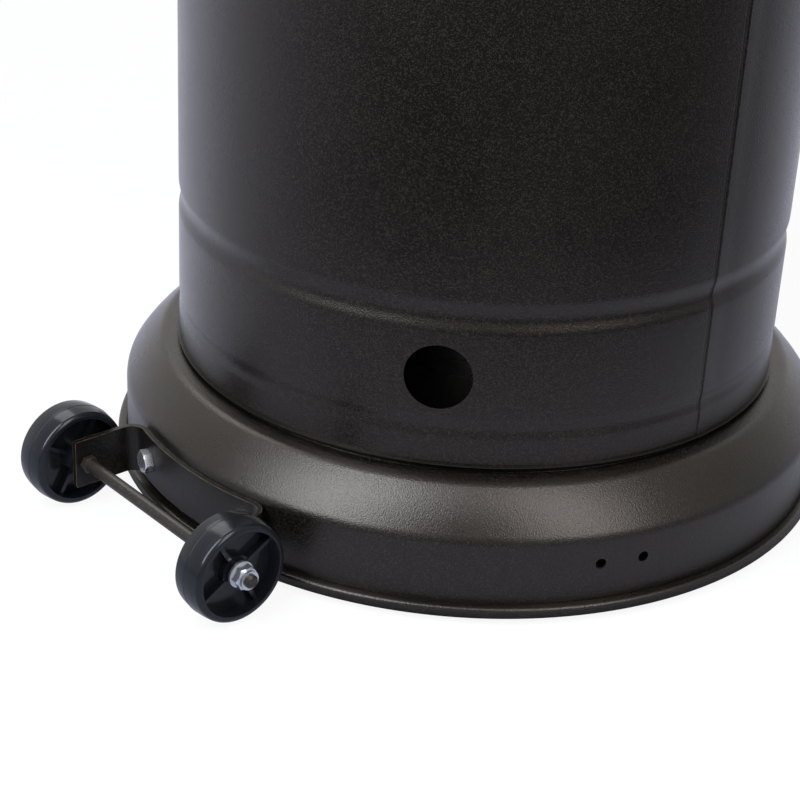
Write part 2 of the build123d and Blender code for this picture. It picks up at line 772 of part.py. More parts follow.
def cap_sizes():
    """Outer radius, hole radius, slope length and flat height of the housing cap."""
    outer = housing_r + CAP_FIT + CAP_SHEET
    hole = post_r + BODY_GAP + RING_WALL + CURVE_GAP
    turn = 90 - CAP_SLOPE
    bends = CAP_BEND_R * (1 - cosd(turn)) + CAP_CROWN_R * sind(CAP_SLOPE)
    slope = (outer - bends - CAP_FLAT - hole) / cosd(CAP_SLOPE)
    rise = CAP_BEND_R * sind(turn) + slope * sind(CAP_SLOPE) + CAP_CROWN_R * (1 - cosd(CAP_SLOPE))
    return outer, hole, slope, housing_top + rise


def housing_cap():
    outer, _, slope, _ = cap_sizes()
    moves = [CAP_SKIRT, (CAP_BEND_R, 90 - CAP_SLOPE), slope, (CAP_CROWN_R, CAP_SLOPE), CAP_FLAT]
    cap = spun((outer, housing_top - CAP_SKIRT), 90, moves, CAP_SHEET)
    for angle in CAP_SCREW_ANGLES:
        cap -= facing(outer, angle, cap_screw_z) * hole(M4 / 2 + SCREW_GAP)
    return cap


def cap_screws():
    outer = cap_sizes()[0]
    screw = pan_screw(M4, M4_HEAD_D, M4_HEAD_H, CAP_SHEET + CAP_FIT + HOUSING_SHEET + THREAD_TAIL)
    return group([facing(outer, angle, cap_screw_z) * screw for angle in CAP_SCREW_ANGLES])


def cap_ring():
    """Plastic ring in the cap's hole that guides the housing along the post."""
    flat = cap_sizes()[3]
    bore = post_r + BODY_GAP
    neck = bore + RING_WALL
    low = flat - CAP_SHEET - RING_LIP
    ring = rod(neck, low, flat + RING_LIP)
    ring += rod(neck + RING_FLANGE, low, flat - CAP_SHEET)
    ring += rod(neck + RING_FLANGE, flat, flat + RING_LIP)
    ring = fillet(ring.edges().filter_by(GeomType.CIRCLE).group_by(Axis.Z)[-1], RING_EDGE_R)
    return ring - rod(bore, low, flat + RING_LIP)


def gas_hose():
    return tube(HOSE_D / 2, HOSE_BORE_D / 2, hose_bottom, hose_top)


def regulator_body():
    body = to_back(0, -REGULATOR_T / 2, regulator_z) * rod(REGULATOR_D / 2, 0, REGULATOR_T)
    body += rod(HOSE_D / 2, regulator_z, hose_bottom)
    return body + rod(NECK_D / 2, neck_end, regulator_z)


def regulator_cap():
    cap = rod(REGULATOR_CAP_D / 2, 0, REGULATOR_CAP_T)
    cap = fillet(cap.edges().group_by(Axis.Z)[-1], REGULATOR_CAP_EDGE_R)
    return to_front(0, -REGULATOR_T / 2, regulator_z) * cap


def regulator_nut():
    low = swivel_top - NECK_L - SWIVEL_FLOOR
    nut = Pos(0, 0, low) * hexagon(SWIVEL_AF, swivel_top - low)
    nut += rod(INLET_THREAD_D / 2, low - INLET_THREAD_L, low)
    return nut - rod(NECK_D / 2 + RUN_GAP, neck_end - BODY_GAP, swivel_top)


def head_sleeve():
    inner = post_r + RUN_GAP
    sleeve = tube(inner + SLEEVE_T, inner, post_top - SLEEVE_LEN, post_top)
    sleeve += tube(SLEEVE_PLATE_R, SLEEVE_HOLE_R, post_top, drum_z)
    for angle in SLEEVE_SCREW_ANGLES:
        sleeve -= facing(inner, angle, sleeve_screw_z) * hole(M4 / 2 + SCREW_GAP)
    return sleeve


def sleeve_screws():
    seat = post_r + RUN_GAP + SLEEVE_T
    screw = pan_screw(M4, M4_HEAD_D, M4_HEAD_H, SLEEVE_T + RUN_GAP + POST_T + THREAD_TAIL)
    return group([facing(seat, angle, sleeve_screw_z) * screw for angle in SLEEVE_SCREW_ANGLES])


def control_housing():
    moves = [
        FUNNEL_FOOT_R - SLEEVE_HOLE_R,
        (FUNNEL_BEND_R, FUNNEL_SLOPE),
        funnel_len,
        (FUNNEL_BEND_R, -FUNNEL_SLOPE),
        drum_r - DRUM_CORNER_R - shelf_r,
        (DRUM_CORNER_R, 90),
        DRUM_H - 2 * DRUM_CORNER_R,
        (DRUM_CORNER_R, 90),
        DRUM_FLANGE,
    ]
    drum = spun((SLEEVE_HOLE_R, drum_z), 0, moves, DRUM_SHEET)
    drum -= block((-drum_r, drum_r), (-DRUM_D, -flat_y), (drum_z, plate_top))
    for hand in (-1, 1):
        drum -= panel_screw_place(hand) * hole(M4 / 2 + SCREW_GAP)
    for angle in DECK_SCREW_ANGLES:
        drum -= upright(deck_screw_r, angle, drum_top) * hole(M4 / 2 + SCREW_GAP)
    return drum


def panel_screw_place(hand):
    return Pos(hand * PANEL_SCREW_X, -flat_y + PANEL_FLANGE / 2, shelf_z)


def control_panel():
    flange_w = panel_half_w - PANEL_FLANGE_INSET
    panel = block((-panel_half_w, panel_half_w), (panel_front, -flat_y), (shelf_z, drum_top))
    depth = (-flat_y, -flat_y + PANEL_FLANGE)
    panel += block((-flange_w, flange_w), depth, (shelf_top, shelf_top + PANEL_T))
    panel -= to_front(0, -flat_y, control_z) * hole(STEM_D / 2 + BODY_GAP)
    panel -= to_front(IGNITER_X, -flat_y, control_z) * hole(IGNITER_D / 2 + SCREW_GAP)
    for hand in (-1, 1):
        panel -= panel_screw_place(hand) * hole(M4 / 2 + THREAD_GAP)
    return panel


def panel_screws():
    screw = Rot(180, 0, 0) * pan_screw(M4, M4_HEAD_D, M4_HEAD_H, DRUM_SHEET + PANEL_T + THREAD_TAIL)
    return group([panel_screw_place(hand) * screw for hand in (-1, 1)])


def gas_valve():
    half_h = VALVE_H / 2
    heights = (control_z - half_h, control_z + half_h)
    body = block((-VALVE_W / 2, VALVE_W / 2), (-flat_y, valve_back), heights)
    body = fillet(body.edges().filter_by(Axis.Y), VALVE_EDGE_R)
    return body - to_back(0, -flat_y, control_z) * rod(PLUNGER_D / 2 + RUN_GAP, 0, VALVE_BORE_L)


def valve_plunger():
    return to_back(0, stem_in, control_z) * rod(PLUNGER_D / 2, 0, PLUNGER_L)


def valve_stem():
    inner = knob_back - stem_in + BODY_GAP
    return to_front(0, knob_back, control_z) * rod(STEM_D / 2, inner, KNOB_BORE_L - BODY_GAP)


def control_knob():
    grip = rod(KNOB_D / 2, 0, KNOB_L)
    grip = fillet(grip.edges().group_by(Axis.Z)[-1], KNOB_EDGE_R)
    for k in range(KNOB_FLUTES):
        angle = 360 / KNOB_FLUTES * (k + 0.5)
        grip -= upright(KNOB_D / 2, angle, 0) * rod(KNOB_FLUTE_D / 2, KNOB_SKIRT_T, KNOB_L)
    knob = grip + rod(KNOB_SKIRT_D / 2, 0, KNOB_SKIRT_T)
    half_w = KNOB_POINTER_W / 2
    knob += block((-half_w, half_w), (0, KNOB_POINTER_L), (KNOB_SKIRT_T, KNOB_L + KNOB_POINTER_H))
    knob -= rod(STEM_D / 2 + THREAD_GAP, 0, KNOB_BORE_L)
    return to_front(0, knob_back, control_z) * knob


def igniter_body():
    front = PANEL_T + BEZEL_T
    body = rod(IGNITER_D / 2, -IGNITER_L, front) + rod(BEZEL_D / 2, PANEL_T, front)
    depth = BUTTON_L - BUTTON_PROUD + BUTTON_ROOM
    body -= rod(BUTTON_D / 2 + RUN_GAP, front - depth, front)
    return to_front(IGNITER_X, -flat_y, control_z) * body


def igniter_button():
    front = PANEL_T + BEZEL_T
    button = rod(BUTTON_D / 2, front + BUTTON_PROUD - BUTTON_L, front + BUTTON_PROUD)
    button = fillet(button.edges().group_by(Axis.Z)[-1], BUTTON_EDGE_R)
    return to_front(IGNITER_X, -flat_y, control_z) * button


def tilt_switch():
    middle = (shelf_r + drum_r - DRUM_CORNER_R) / 2
    body = rod(TILT_D / 2, shelf_top, shelf_top + TILT_H)
    return upright(middle, 90, 0) * fillet(body.edges().group_by(Axis.Z)[-1], TILT_EDGE_R)


def inlet_fitting():
    fitting = rod(FITTING_D / 2, hose_top, fitting_top)
    return fitting + Pos(0, 0, hose_top + FITTING_HEX_L) * hexagon(FITTING_AF, FITTING_HEX_L)


def bent_pipe(points):
    path = FilletPolyline(*points, radius=PIPE_BEND_R)
    return sweep(Plane(path @ 0, z_dir=path % 0) * Circle(PIPE_D / 2), path)


def inlet_pipe():
    level = fitting_top + PIPE_LEAD + PIPE_BEND_R
    under_valve = control_z - VALVE_H / 2
    return bent_pipe([
        (0, 0, fitting_top),
        (0, 0, level),
        (0, valve_inlet_y, level),
        (0, valve_inlet_y, under_valve),
    ])


def gas_pipe():
    return bent_pipe([(0, valve_back, control_z), (0, 0, control_z), (0, 0, jet_z)])


def gas_jet():
    return Pos(0, 0, jet_z) * (hexagon(JET_AF, JET_HEX_H) + rod(JET_NOSE_D / 2, 0, JET_HEX_H + JET_NOSE_H))


def burner_tube():
    outer = TUBE_D / 2
    pipe = tube(outer, outer - TUBE_T, tube_z, plate_top + TUBE_INTO_HEAD)
    pipe += tube(outer, JET_NOSE_D / 2 + THREAD_GAP, tube_z, tube_z + TUBE_FLOOR)
    window = (tube_z + AIR_SLOT_Z, tube_z + AIR_SLOT_Z + AIR_SLOT_H)
    slot = block((-TUBE_D, TUBE_D), (-AIR_SLOT_W / 2, AIR_SLOT_W / 2), window)
    return pipe - slot - Rot(0, 0, 90) * slot


def burner_deck():
    inner = TUBE_D / 2 + PLATE_HOLE_GAP
    outer = drum_r + PLATE_OVERHANG
    moves = [outer - PLATE_BEND_R - inner, (PLATE_BEND_R, -90), PLATE_SKIRT]
    plate = spun((inner, plate_top), 0, moves, -PLATE_SHEET)
    for angle in DECK_SCREW_ANGLES:
        plate -= upright(deck_screw_r, angle, plate_top) * hole(M4 / 2 + SCREW_GAP)
    return plate


def deck_screws():
    screw = pan_screw(M4, M4_HEAD_D, M4_HEAD_H, PLATE_SHEET + DRUM_SHEET + THREAD_TAIL)
    return group([upright(deck_screw_r, angle, plate_top) * screw for angle in DECK_SCREW_ANGLES])


def burner_head():
    outer = BURNER_D / 2
    top = plate_top + BURNER_H
    head = rod(outer, plate_top, top)
    head = fillet(head.edges().group_by(Axis.Z)[-1], BURNER_EDGE_R)
    head -= rod(outer - BURNER_T, plate_top + BURNER_T, top - BURNER_T)
    head -= rod(TUBE_D / 2 + CURVE_GAP, plate_top, plate_top + BURNER_T)
    for k in range(PORTS // 2):
        head -= facing(0, 360 / PORTS * k, top - PORT_DROP) * Cylinder(PORT_D / 2, 2 * BURNER_D)
    return head


def pilot_burner():
    return upright(PILOT_R, 270, 0) * tube(PILOT_D / 2, PILOT_BORE_D / 2, plate_top, plate_top + PILOT_H)


def thermocouple():
    return upright(PILOT_R, 270 + PILOT_STEP, 0) * rod(PROBE_D / 2, plate_top, plate_top + PROBE_H)


def spark_electrode():
    body = rod(ELECTRODE_D / 2, plate_top, plate_top + ELECTRODE_H)
    body += rod(ELECTRODE_TIP_D / 2, plate_top, plate_top + PROBE_H)
    return upright(PILOT_R, 270 - PILOT_STEP, 0) * body


def emitter_screen():
    return tube(SCREEN_D / 2, SCREEN_D / 2 - SCREEN_T, plate_top, screen_top)


def stud_places(z):
    return [upright(STUD_R, angle, z) for angle in STUD_ANGLES]


def emitter_cap():
    outer = SCREEN_D / 2 + SCREEN_CAP_FIT + SCREEN_CAP_SHEET
    bend = SCREEN_CAP_SHEET + SCREEN_CAP_BEND_IN
    moves = [outer - bend, (bend, -90), SCREEN_CAP_SKIRT]
    cap = spun((0, screen_cap_top), 0, moves, -SCREEN_CAP_SHEET)
    for place in stud_places(screen_top):
        cap -= place * hole(M6 / 2 + SCREW_GAP)
    return cap


def reflector_studs():
    length = SCREEN_CAP_SHEET + SPACER_L + REFLECTOR_SHEET + CENTRE_PLATE_T + WING_HUB_H + THREAD_TAIL
    stud = Pos(0, 0, -M6_HEAD_H) * hexagon(M6_AF, M6_HEAD_H) + rod(M6 / 2, 0, length)
    return group([place * stud for place in stud_places(screen_top)])


def stud_spacers():
    spacer = tube(SPACER_D / 2, M6 / 2 + SCREW_GAP, 0, SPACER_L)
    return group([place * spacer for place in stud_places(screen_cap_top)])


def rivet_places():
    """Every rivet of the reflector's seams, on the sheet's upper face and looking out of it."""
    up = (sind(REFLECTOR_SLOPE), cosd(REFLECTOR_SLOPE))
    lift = REFLECTOR_SHEET + CURVE_GAP
    places = []
    for seam in seam_angles:
        for along in (RIVET_INSET, reflector_slope_len / 2, reflector_slope_len - RIVET_INSET):
            r = slope_start_r + along * cosd(REFLECTOR_SLOPE) + lift * up[0]
            z = slope_start_z - along * sind(REFLECTOR_SLOPE) + lift * up[1]
            for angle in (seam - RIVET_DEG, seam + RIVET_DEG):
                facing_up = (up[0] * cosd(angle), up[0] * sind(angle), up[1])
                places.append(Plane((r * cosd(angle), r * sind(angle), z), z_dir=facing_up))
    return places


def rivet_holes():
    return [place * hole(RIVET_D / 2 + THREAD_GAP) for place in rivet_places()]


def reflector_panel(angle):
    moves = [
        REFLECTOR_FLAT_R - REFLECTOR_HOLE_R,
        (REFLECTOR_BEND_R, -REFLECTOR_SLOPE),
        reflector_slope_len,
        (EDGE_BEND_R, -EDGE_TURN),
        EDGE_FLANGE,
    ]
    arc = 360 / PANELS - PANEL_GAP_DEG
    sheet = spun((REFLECTOR_HOLE_R, reflector_z), 0, moves, REFLECTOR_SHEET, arc)
    sheet = Rot(0, 0, angle - arc / 2) * sheet
    for cut in rivet_holes():
        sheet -= cut
    return sheet - upright(STUD_R, angle, reflector_z) * hole(M6 / 2 + SCREW_GAP)


def reflector_strips():
    """Strips under the panels' seams, which the rivets hold."""
    start_r = slope_start_r + STRIP_INSET * cosd(REFLECTOR_SLOPE)
    start_z = slope_start_z - STRIP_INSET * sind(REFLECTOR_SLOPE)
    length = reflector_slope_len - 2 * STRIP_INSET
    strip = spun((start_r, start_z), -REFLECTOR_SLOPE, [length], -REFLECTOR_SHEET, STRIP_DEG)
    strips = []
    for seam in seam_angles:
        piece = Rot(0, 0, seam - STRIP_DEG / 2) * strip
        for cut in rivet_holes():
            piece -= cut
        strips.append(piece)
    return group(strips)


def reflector_rivets():
    head = rod(RIVET_HEAD_D / 2, 0, RIVET_HEAD_H)
    head = fillet(head.edges().group_by(Axis.Z)[-1], DOME_SHARE * RIVET_HEAD_H)
    grip = 2 * REFLECTOR_SHEET + 2 * CURVE_GAP
    rivet = head + rod(RIVET_D / 2, -grip, 0) + rod(RIVET_TAIL_D / 2, -grip - RIVET_TAIL_H, -grip)
    return group([place * rivet for place in rivet_places()])


def reflector_plate():
    plate = rod(CENTRE_PLATE_D / 2, centre_plate_z, centre_plate_z + CENTRE_PLATE_T)
    for place in stud_places(centre_plate_z):
        plate -= place * hole(M6 / 2 + SCREW_GAP)
    return plate


def wing_nuts():
    nut = Pos(0, 0, WING_HUB_H / 2) * Cone(WING_HUB_D / 2, WING_HUB_TOP_D / 2, WING_HUB_H)
    tip = WING_SPAN / 2
    outline = Polyline(
        (WING_ROOT_R, 0, WING_ROOT_Z),
        (tip, 0, WING_TIP_Z),
        (tip, 0, WING_H),
        (tip - WING_TIP_L, 0, WING_H),
        (WING_ROOT_R, 0, WING_HUB_H),
        close=True,
    )
    wing = extrude(make_face(outline), WING_T / 2, both=True)
    nut += wing
    nut += Rot(0, 0, 180) * wing
    nut -= rod(M6 / 2 + THREAD_GAP, 0, WING_H)
    return group([place * nut for place in stud_places(centre_plate_z + CENTRE_PLATE_T)])


def all_pieces():
    pieces = {
        "base_pan": base_pan(),
        "bottle_deck": bottle_deck(),
        "glide_pads": glide_pads(),
        "wheel_bracket": wheel_bracket(),
        "bracket_bolts": bracket_bolts(),
        "bracket_nuts": bracket_nuts(),
        "axle_rod": axle_rod(),
        "wheel_left": wheel(-1),
        "wheel_right": wheel(1),
        "axle_washers": axle_washers(),
        "axle_nuts": axle_nuts(),
        "support_bolts": support_bolts(),
        "support_nuts": support_nuts(),
        "post": post(),
        "post_screws": post_screws(),
        "housing_shell": housing_shell(),
        "housing_cap": housing_cap(),
        "cap_screws": cap_screws(),
        "cap_ring": cap_ring(),
        "gas_hose": gas_hose(),
        "regulator_body": regulator_body(),
        "regulator_cap": regulator_cap(),
        "regulator_nut": regulator_nut(),
        "head_sleeve": head_sleeve(),
        "sleeve_screws": sleeve_screws(),
        "control_housing": control_housing(),
        "control_panel": control_panel(),
        "panel_screws": panel_screws(),
        "gas_valve": gas_valve(),
        "valve_plunger": valve_plunger(),
        "valve_stem": valve_stem(),
        "control_knob": control_knob(),
        "igniter_body": igniter_body(),
        "igniter_button": igniter_button(),
        "tilt_switch": tilt_switch(),
        "inlet_fitting": inlet_fitting(),
        "inlet_pipe": inlet_pipe(),
        "gas_pipe": gas_pipe(),
        "gas_jet": gas_jet(),
        "burner_tube": burner_tube(),
        "burner_deck": burner_deck(),
        "deck_screws": deck_screws(),
        "burner_head": burner_head(),
        "pilot_burner": pilot_burner(),
        "thermocouple": thermocouple(),
        "spark_electrode": spark_electrode(),
        "emitter_screen": emitter_screen(),
        "emitter_cap": emitter_cap(),
        "reflector_studs": reflector_studs(),
        "stud_spacers": stud_spacers(),
        "reflector_strips": reflector_strips(),
        "reflector_rivets": reflector_rivets(),
        "reflector_plate": reflector_plate(),
        "wing_nuts": wing_nuts(),
    }
    for name, angle in SUPPORT_ANGLES.items():
        pieces[name] = support(angle)
    for k, angle in enumerate(STUD_ANGLES):
        pieces[f"reflector_panel_{k + 1}"] = reflector_panel(angle)
    return pieces


os.makedirs("parts", exist_ok=True)
for name, piece in all_pieces().items():
    export_step(piece, f"parts/{name}.step")
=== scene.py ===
import json
import logging
import math
from dataclasses import dataclass, field
from enum import Enum
from functools import cache

import bmesh
import bpy
from mathutils import Matrix, Vector


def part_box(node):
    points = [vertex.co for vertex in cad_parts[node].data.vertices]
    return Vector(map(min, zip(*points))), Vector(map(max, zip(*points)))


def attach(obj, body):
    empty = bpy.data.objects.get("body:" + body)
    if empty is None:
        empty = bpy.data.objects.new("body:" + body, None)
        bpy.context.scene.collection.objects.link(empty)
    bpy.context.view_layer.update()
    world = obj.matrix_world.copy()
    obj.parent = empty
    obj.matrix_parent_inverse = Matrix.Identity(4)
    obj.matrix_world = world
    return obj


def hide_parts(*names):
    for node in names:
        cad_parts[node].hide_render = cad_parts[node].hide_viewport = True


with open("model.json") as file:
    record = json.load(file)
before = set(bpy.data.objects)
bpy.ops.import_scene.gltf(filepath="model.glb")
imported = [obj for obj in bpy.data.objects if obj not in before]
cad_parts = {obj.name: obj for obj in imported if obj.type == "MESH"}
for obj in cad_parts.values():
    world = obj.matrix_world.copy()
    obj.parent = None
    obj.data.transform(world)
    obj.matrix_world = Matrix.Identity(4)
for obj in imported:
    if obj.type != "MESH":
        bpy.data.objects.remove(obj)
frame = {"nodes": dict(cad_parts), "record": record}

LOG = logging.getLogger("heater")
TINY = 1e-6
ANGLE_DIGITS = 5
LENGTH_DIGITS = 6

Colour = tuple[float, float, float]
Place = tuple[float, float, float]
Pair = tuple[float, float]
Section = list[Pair]
Shape = tuple[list[Place], list[tuple[int, ...]]]
Socket = bpy.types.NodeSocket
Tree = bpy.types.NodeTree

WHITE: Colour = (1.0, 1.0, 1.0)

# Sockets of a Mix node that mixes colours
MIX_LOW, MIX_HIGH, MIX_RESULT = 6, 7, 2


class Body(Enum):
    """Rigid bodies of the frame that pieces ride on."""

    BASE = "base"
    HOUSING = "housing"
    WHEEL_LEFT = "wheel_left"
    WHEEL_RIGHT = "wheel_right"
    KNOB = "control_knob"


class Effect(Enum):
    """Surface effects that several finishes share, each one node group."""

    GRAIN = "surface_grain"
    FLAKE = "metal_flake"
    MOTTLE = "colour_mottle"
    DUST = "settled_dust"
    RUB = "rubbed_edges"


@dataclass
class NodeDesk:
    """Writes nodes into one tree, so that a finish reads as a short list of steps."""

    tree: Tree

    def node(self, kind: str, **settings: object) -> bpy.types.Node:
        """Add a node and set its properties.

        Args:
            kind: Blender's node type.
            settings: properties of the node by name.

        Returns:
            The new node.
        """
        made = self.tree.nodes.new(kind)
        for name, value in settings.items():
            setattr(made, name, value)
        return made

    def link(self, source: Socket, target: Socket) -> None:
        """Join an output to an input."""
        self.tree.links.new(source, target)

    def feed(self, target: Socket, value: object) -> None:
        """Link a socket to an input, or set the input to a colour or a number.

        Args:
            target: the input.
            value: socket, colour or number.
        """
        if isinstance(value, Socket):
            self.link(value, target)
        else:
            target.default_value = (*value, 1.0) if isinstance(value, tuple) else value

    def math(self, operation: str, first: object, second: object) -> Socket:
        """Add a Math node whose inputs are sockets or numbers.

        Args:
            operation: Blender's name of the operation.
            first: first input.
            second: second input.

        Returns:
            The result's socket.
        """
        made = self.node("ShaderNodeMath", operation=operation)
        self.feed(made.inputs[0], first)
        self.feed(made.inputs[1], second)
        return made.outputs[0]

    def ramp(self, value: Socket, low: float, high: float,
             start: float = 0.0, end: float = 1.0) -> Socket:
        """Spread a band of values smoothly over another band.

        Args:
            value: socket to spread.
            low: value that becomes start.
            high: value that becomes end.
            start: result at low.
            end: result at high.

        Returns:
            The result's socket.
        """
        made = self.node("ShaderNodeMapRange", interpolation_type="SMOOTHSTEP")
        self.link(value, made.inputs["Value"])
        limits = {"From Min": low, "From Max": high, "To Min": start, "To Max": end}
        for name, limit in limits.items():
            made.inputs[name].default_value = limit
        return made.outputs[0]

    def mix(self, amount: Socket, low: object, high: object) -> Socket:
        """Mix two colours.

        Args:
            amount: socket that goes from 0, low, to 1, high.
            low: colour or socket.
            high: colour or socket.

        Returns:
            The mixed colour's socket.
        """
        made = self.node("ShaderNodeMix", data_type="RGBA")
        self.link(amount, made.inputs["Factor"])
        self.feed(made.inputs[MIX_LOW], low)
        self.feed(made.inputs[MIX_HIGH], high)
        return made.outputs[MIX_RESULT]


class EffectBook:
    """Builds each shared effect once, as a shader node group."""

    def __init__(self) -> None:
        """Build every group of the Effect enum."""
        self.groups = {
            Effect.GRAIN: self.grain(),
            Effect.FLAKE: self.flake(),
            Effect.MOTTLE: self.mottle(),
            Effect.DUST: self.dust(),
            Effect.RUB: self.rub(),
        }

    def blank(self, effect: Effect, inputs: dict[str, float],
              output: str) -> tuple[NodeDesk, dict[str, Socket], Socket]:
        """Start a group with named number inputs and one number output.

        Args:
            effect: which effect it is.
            inputs: input names and their usual values.
            output: the output's name.

        Returns:
            The desk of the group's tree, its input sockets by name, and its output socket.
        """
        tree = bpy.data.node_groups.new(effect.value, "ShaderNodeTree")
        kind = "NodeSocketFloat"
        for name, value in inputs.items():
            made = tree.interface.new_socket(name, in_out="INPUT", socket_type=kind)
            made.default_value = value
        tree.interface.new_socket(output, in_out="OUTPUT", socket_type=kind)
        desk = NodeDesk(tree)
        entry = desk.node("NodeGroupInput")
        leave = desk.node("NodeGroupOutput")
        return desk, {name: entry.outputs[name] for name in inputs}, leave.inputs[output]

    def noise(self, desk: NodeDesk, scale: Socket, detail: float) -> Socket:
        """Noise in the object's own space.

        Args:
            desk: desk of the tree.
            scale: socket of waves per metre.
            detail: number of finer layers.

        Returns:
            The noise's value socket.
        """
        place = desk.node("ShaderNodeTexCoord")
        made = desk.node("ShaderNodeTexNoise")
        made.inputs["Detail"].default_value = detail
        desk.link(place.outputs["Object"], made.inputs["Vector"])
        desk.link(scale, made.inputs["Scale"])
        return made.outputs[0]

    def grain(self) -> Tree:
        """Fine pebble of a coating or a casting.

        Returns:
            The node group, with a Height from 0 to 1.
        """
        desk, inputs, out = self.blank(Effect.GRAIN, {"Scale": 900.0}, "Height")
        desk.link(self.noise(desk, inputs["Scale"], detail=2.0), out)
        return desk.tree

    def flake(self) -> Tree:
        """Scattered metal flakes of a bronze coating.

        Returns:
            The node group, with a Mask of up to 1 on a flake.
        """
        desk, inputs, out = self.blank(Effect.FLAKE, {"Scale": 1200.0, "Share": 0.12}, "Mask")
        place = desk.node("ShaderNodeTexCoord")
        cells = desk.node("ShaderNodeTexVoronoi")
        desk.link(place.outputs["Object"], cells.inputs["Vector"])
        desk.link(inputs["Scale"], cells.inputs["Scale"])
        split = desk.node("ShaderNodeSeparateColor")
        desk.link(cells.outputs["Color"], split.inputs[0])
        chosen = desk.math("LESS_THAN", split.outputs[0], inputs["Share"])
        desk.link(desk.math("MULTIPLY", chosen, split.outputs[1]), out)
        return desk.tree

    def mottle(self) -> Tree:
        """Soft clouds of colour or gloss.

        Returns:
            The node group, with a Mask from 0 to 1.
        """
        desk, inputs, out = self.blank(Effect.MOTTLE, {"Scale": 14.0}, "Mask")
        clouds = self.noise(desk, inputs["Scale"], detail=4.0)
        desk.link(desk.ramp(clouds, low=0.3, high=0.7), out)
        return desk.tree

    def dust(self) -> Tree:
        """Dust that settles on faces that look up.

        Returns:
            The node group, with a Mask from 0 to Amount.
        """
        desk, inputs, out = self.blank(Effect.DUST, {"Scale": 60.0, "Amount": 0.2}, "Mask")
        split = desk.node("ShaderNodeSeparateXYZ")
        desk.link(desk.node("ShaderNodeNewGeometry").outputs["Normal"], split.inputs[0])
        facing = desk.ramp(split.outputs["Z"], low=0.3, high=1.0)
        patch = desk.ramp(self.noise(desk, inputs["Scale"], detail=5.0), low=0.35, high=0.75)
        cover = desk.math("MULTIPLY", facing, patch)
        desk.link(desk.math("MULTIPLY", cover, inputs["Amount"]), out)
        return desk.tree

    def rub(self) -> Tree:
        """Edges where handling has worn the coat.

        Returns:
            The node group, with a Mask from 0 to Amount.
        """
        usual = {"Radius": 0.0008, "Scale": 160.0, "Amount": 0.5}
        desk, inputs, out = self.blank(Effect.RUB, usual, "Mask")
        soft = desk.node("ShaderNodeBevel", samples=6)
        desk.link(inputs["Radius"], soft.inputs["Radius"])
        turn = desk.node("ShaderNodeVectorMath", operation="DOT_PRODUCT")
        desk.link(soft.outputs[0], turn.inputs[0])
        desk.link(desk.node("ShaderNodeNewGeometry").outputs["Normal"], turn.inputs[1])
        edge = desk.ramp(turn.outputs["Value"], low=0.97, high=0.80)
        patch = desk.ramp(self.noise(desk, inputs["Scale"], detail=4.0), low=0.25, high=0.6)
        worn = desk.math("MULTIPLY", edge, patch)
        desk.link(desk.math("MULTIPLY", worn, inputs["Amount"]), out)
        return desk.tree

    def place(self, desk: NodeDesk, effect: Effect, **values: float) -> Socket:
        """Put an effect into a material.

        Args:
            desk: desk of the material's tree.
            effect: which effect.
            values: the group's inputs, by name.

        Returns:
            The effect's output socket.
        """
        made = desk.node("ShaderNodeGroup", node_tree=self.groups[effect])
        for name, value in values.items():
            made.inputs[name].default_value = value
        return made.outputs[0]


@dataclass(frozen=True)
class Finish:
    """One surface: its colour, gloss and the effects on it, with scales in waves per metre."""

    name: str
    colour: Colour
    second: Colour
    roughness: float
    metallic: float = 0.0
    mottle: float = 14.0
    gloss_spread: float = 0.08
    grain: float = 900.0
    bump: float = 0.1
    depth: float = 0.0002
    flake: float = 0.0
    flake_scale: float = 1200.0
    flake_colour: Colour = (0.5, 0.42, 0.34)
    flake_metal: float = 0.0
    coat: float = 0.0
    coat_roughness: float = 0.1
    dust: float = 0.0
    dust_colour: Colour = (0.2, 0.19, 0.17)
    rub: float = 0.0
    rub_colour: Colour = (0.3, 0.26, 0.22)
    specular: float = 0.5
    tint: Colour = WHITE

    def material(self, book: EffectBook) -> bpy.types.Material:
        """Write the finish as a material.

        Args:
            book: the shared effects.

        Returns:
            The material.
        """
        made = bpy.data.materials.new(self.name)
        made.use_nodes = True
        desk = NodeDesk(made.node_tree)
        shader = made.node_tree.nodes["Principled BSDF"]
        fixed = {
            "Metallic": self.metallic, "Specular IOR Level": self.specular,
            "Specular Tint": self.tint, "Coat Weight": self.coat,
            "Coat Roughness": self.coat_roughness,
        }
        for name, value in fixed.items():
            desk.feed(shader.inputs[name], value)
        cloud = book.place(desk, Effect.MOTTLE, Scale=self.mottle)
        colour = desk.mix(cloud, self.colour, self.second)
        sleek, dull = self.roughness - self.gloss_spread, self.roughness + self.gloss_spread
        gloss = desk.ramp(cloud, 0.0, 1.0, sleek, dull)
        if self.flake:
            spark = book.place(desk, Effect.FLAKE, Scale=self.flake_scale, Share=self.flake)
            colour = desk.mix(spark, colour, self.flake_colour)
            if self.flake_metal:
                metal = desk.math("MULTIPLY", spark, self.flake_metal)
                desk.link(metal, shader.inputs["Metallic"])
        if self.rub:
            worn = book.place(desk, Effect.RUB, Amount=self.rub)
            colour = desk.mix(worn, colour, self.rub_colour)
        if self.dust:
            cover = book.place(desk, Effect.DUST, Amount=self.dust)
            colour = desk.mix(cover, colour, self.dust_colour)
            gloss = desk.math("MAXIMUM", gloss, cover)
        desk.link(colour, shader.inputs["Base Color"])
        desk.link(gloss, shader.inputs["Roughness"])
        bump = desk.node("ShaderNodeBump")
        bump.inputs["Strength"].default_value = self.bump
        bump.inputs["Distance"].default_value = self.depth
        desk.link(book.place(desk, Effect.GRAIN, Scale=self.grain), bump.inputs["Height"])
        desk.link(bump.outputs["Normal"], shader.inputs["Normal"])
        return made


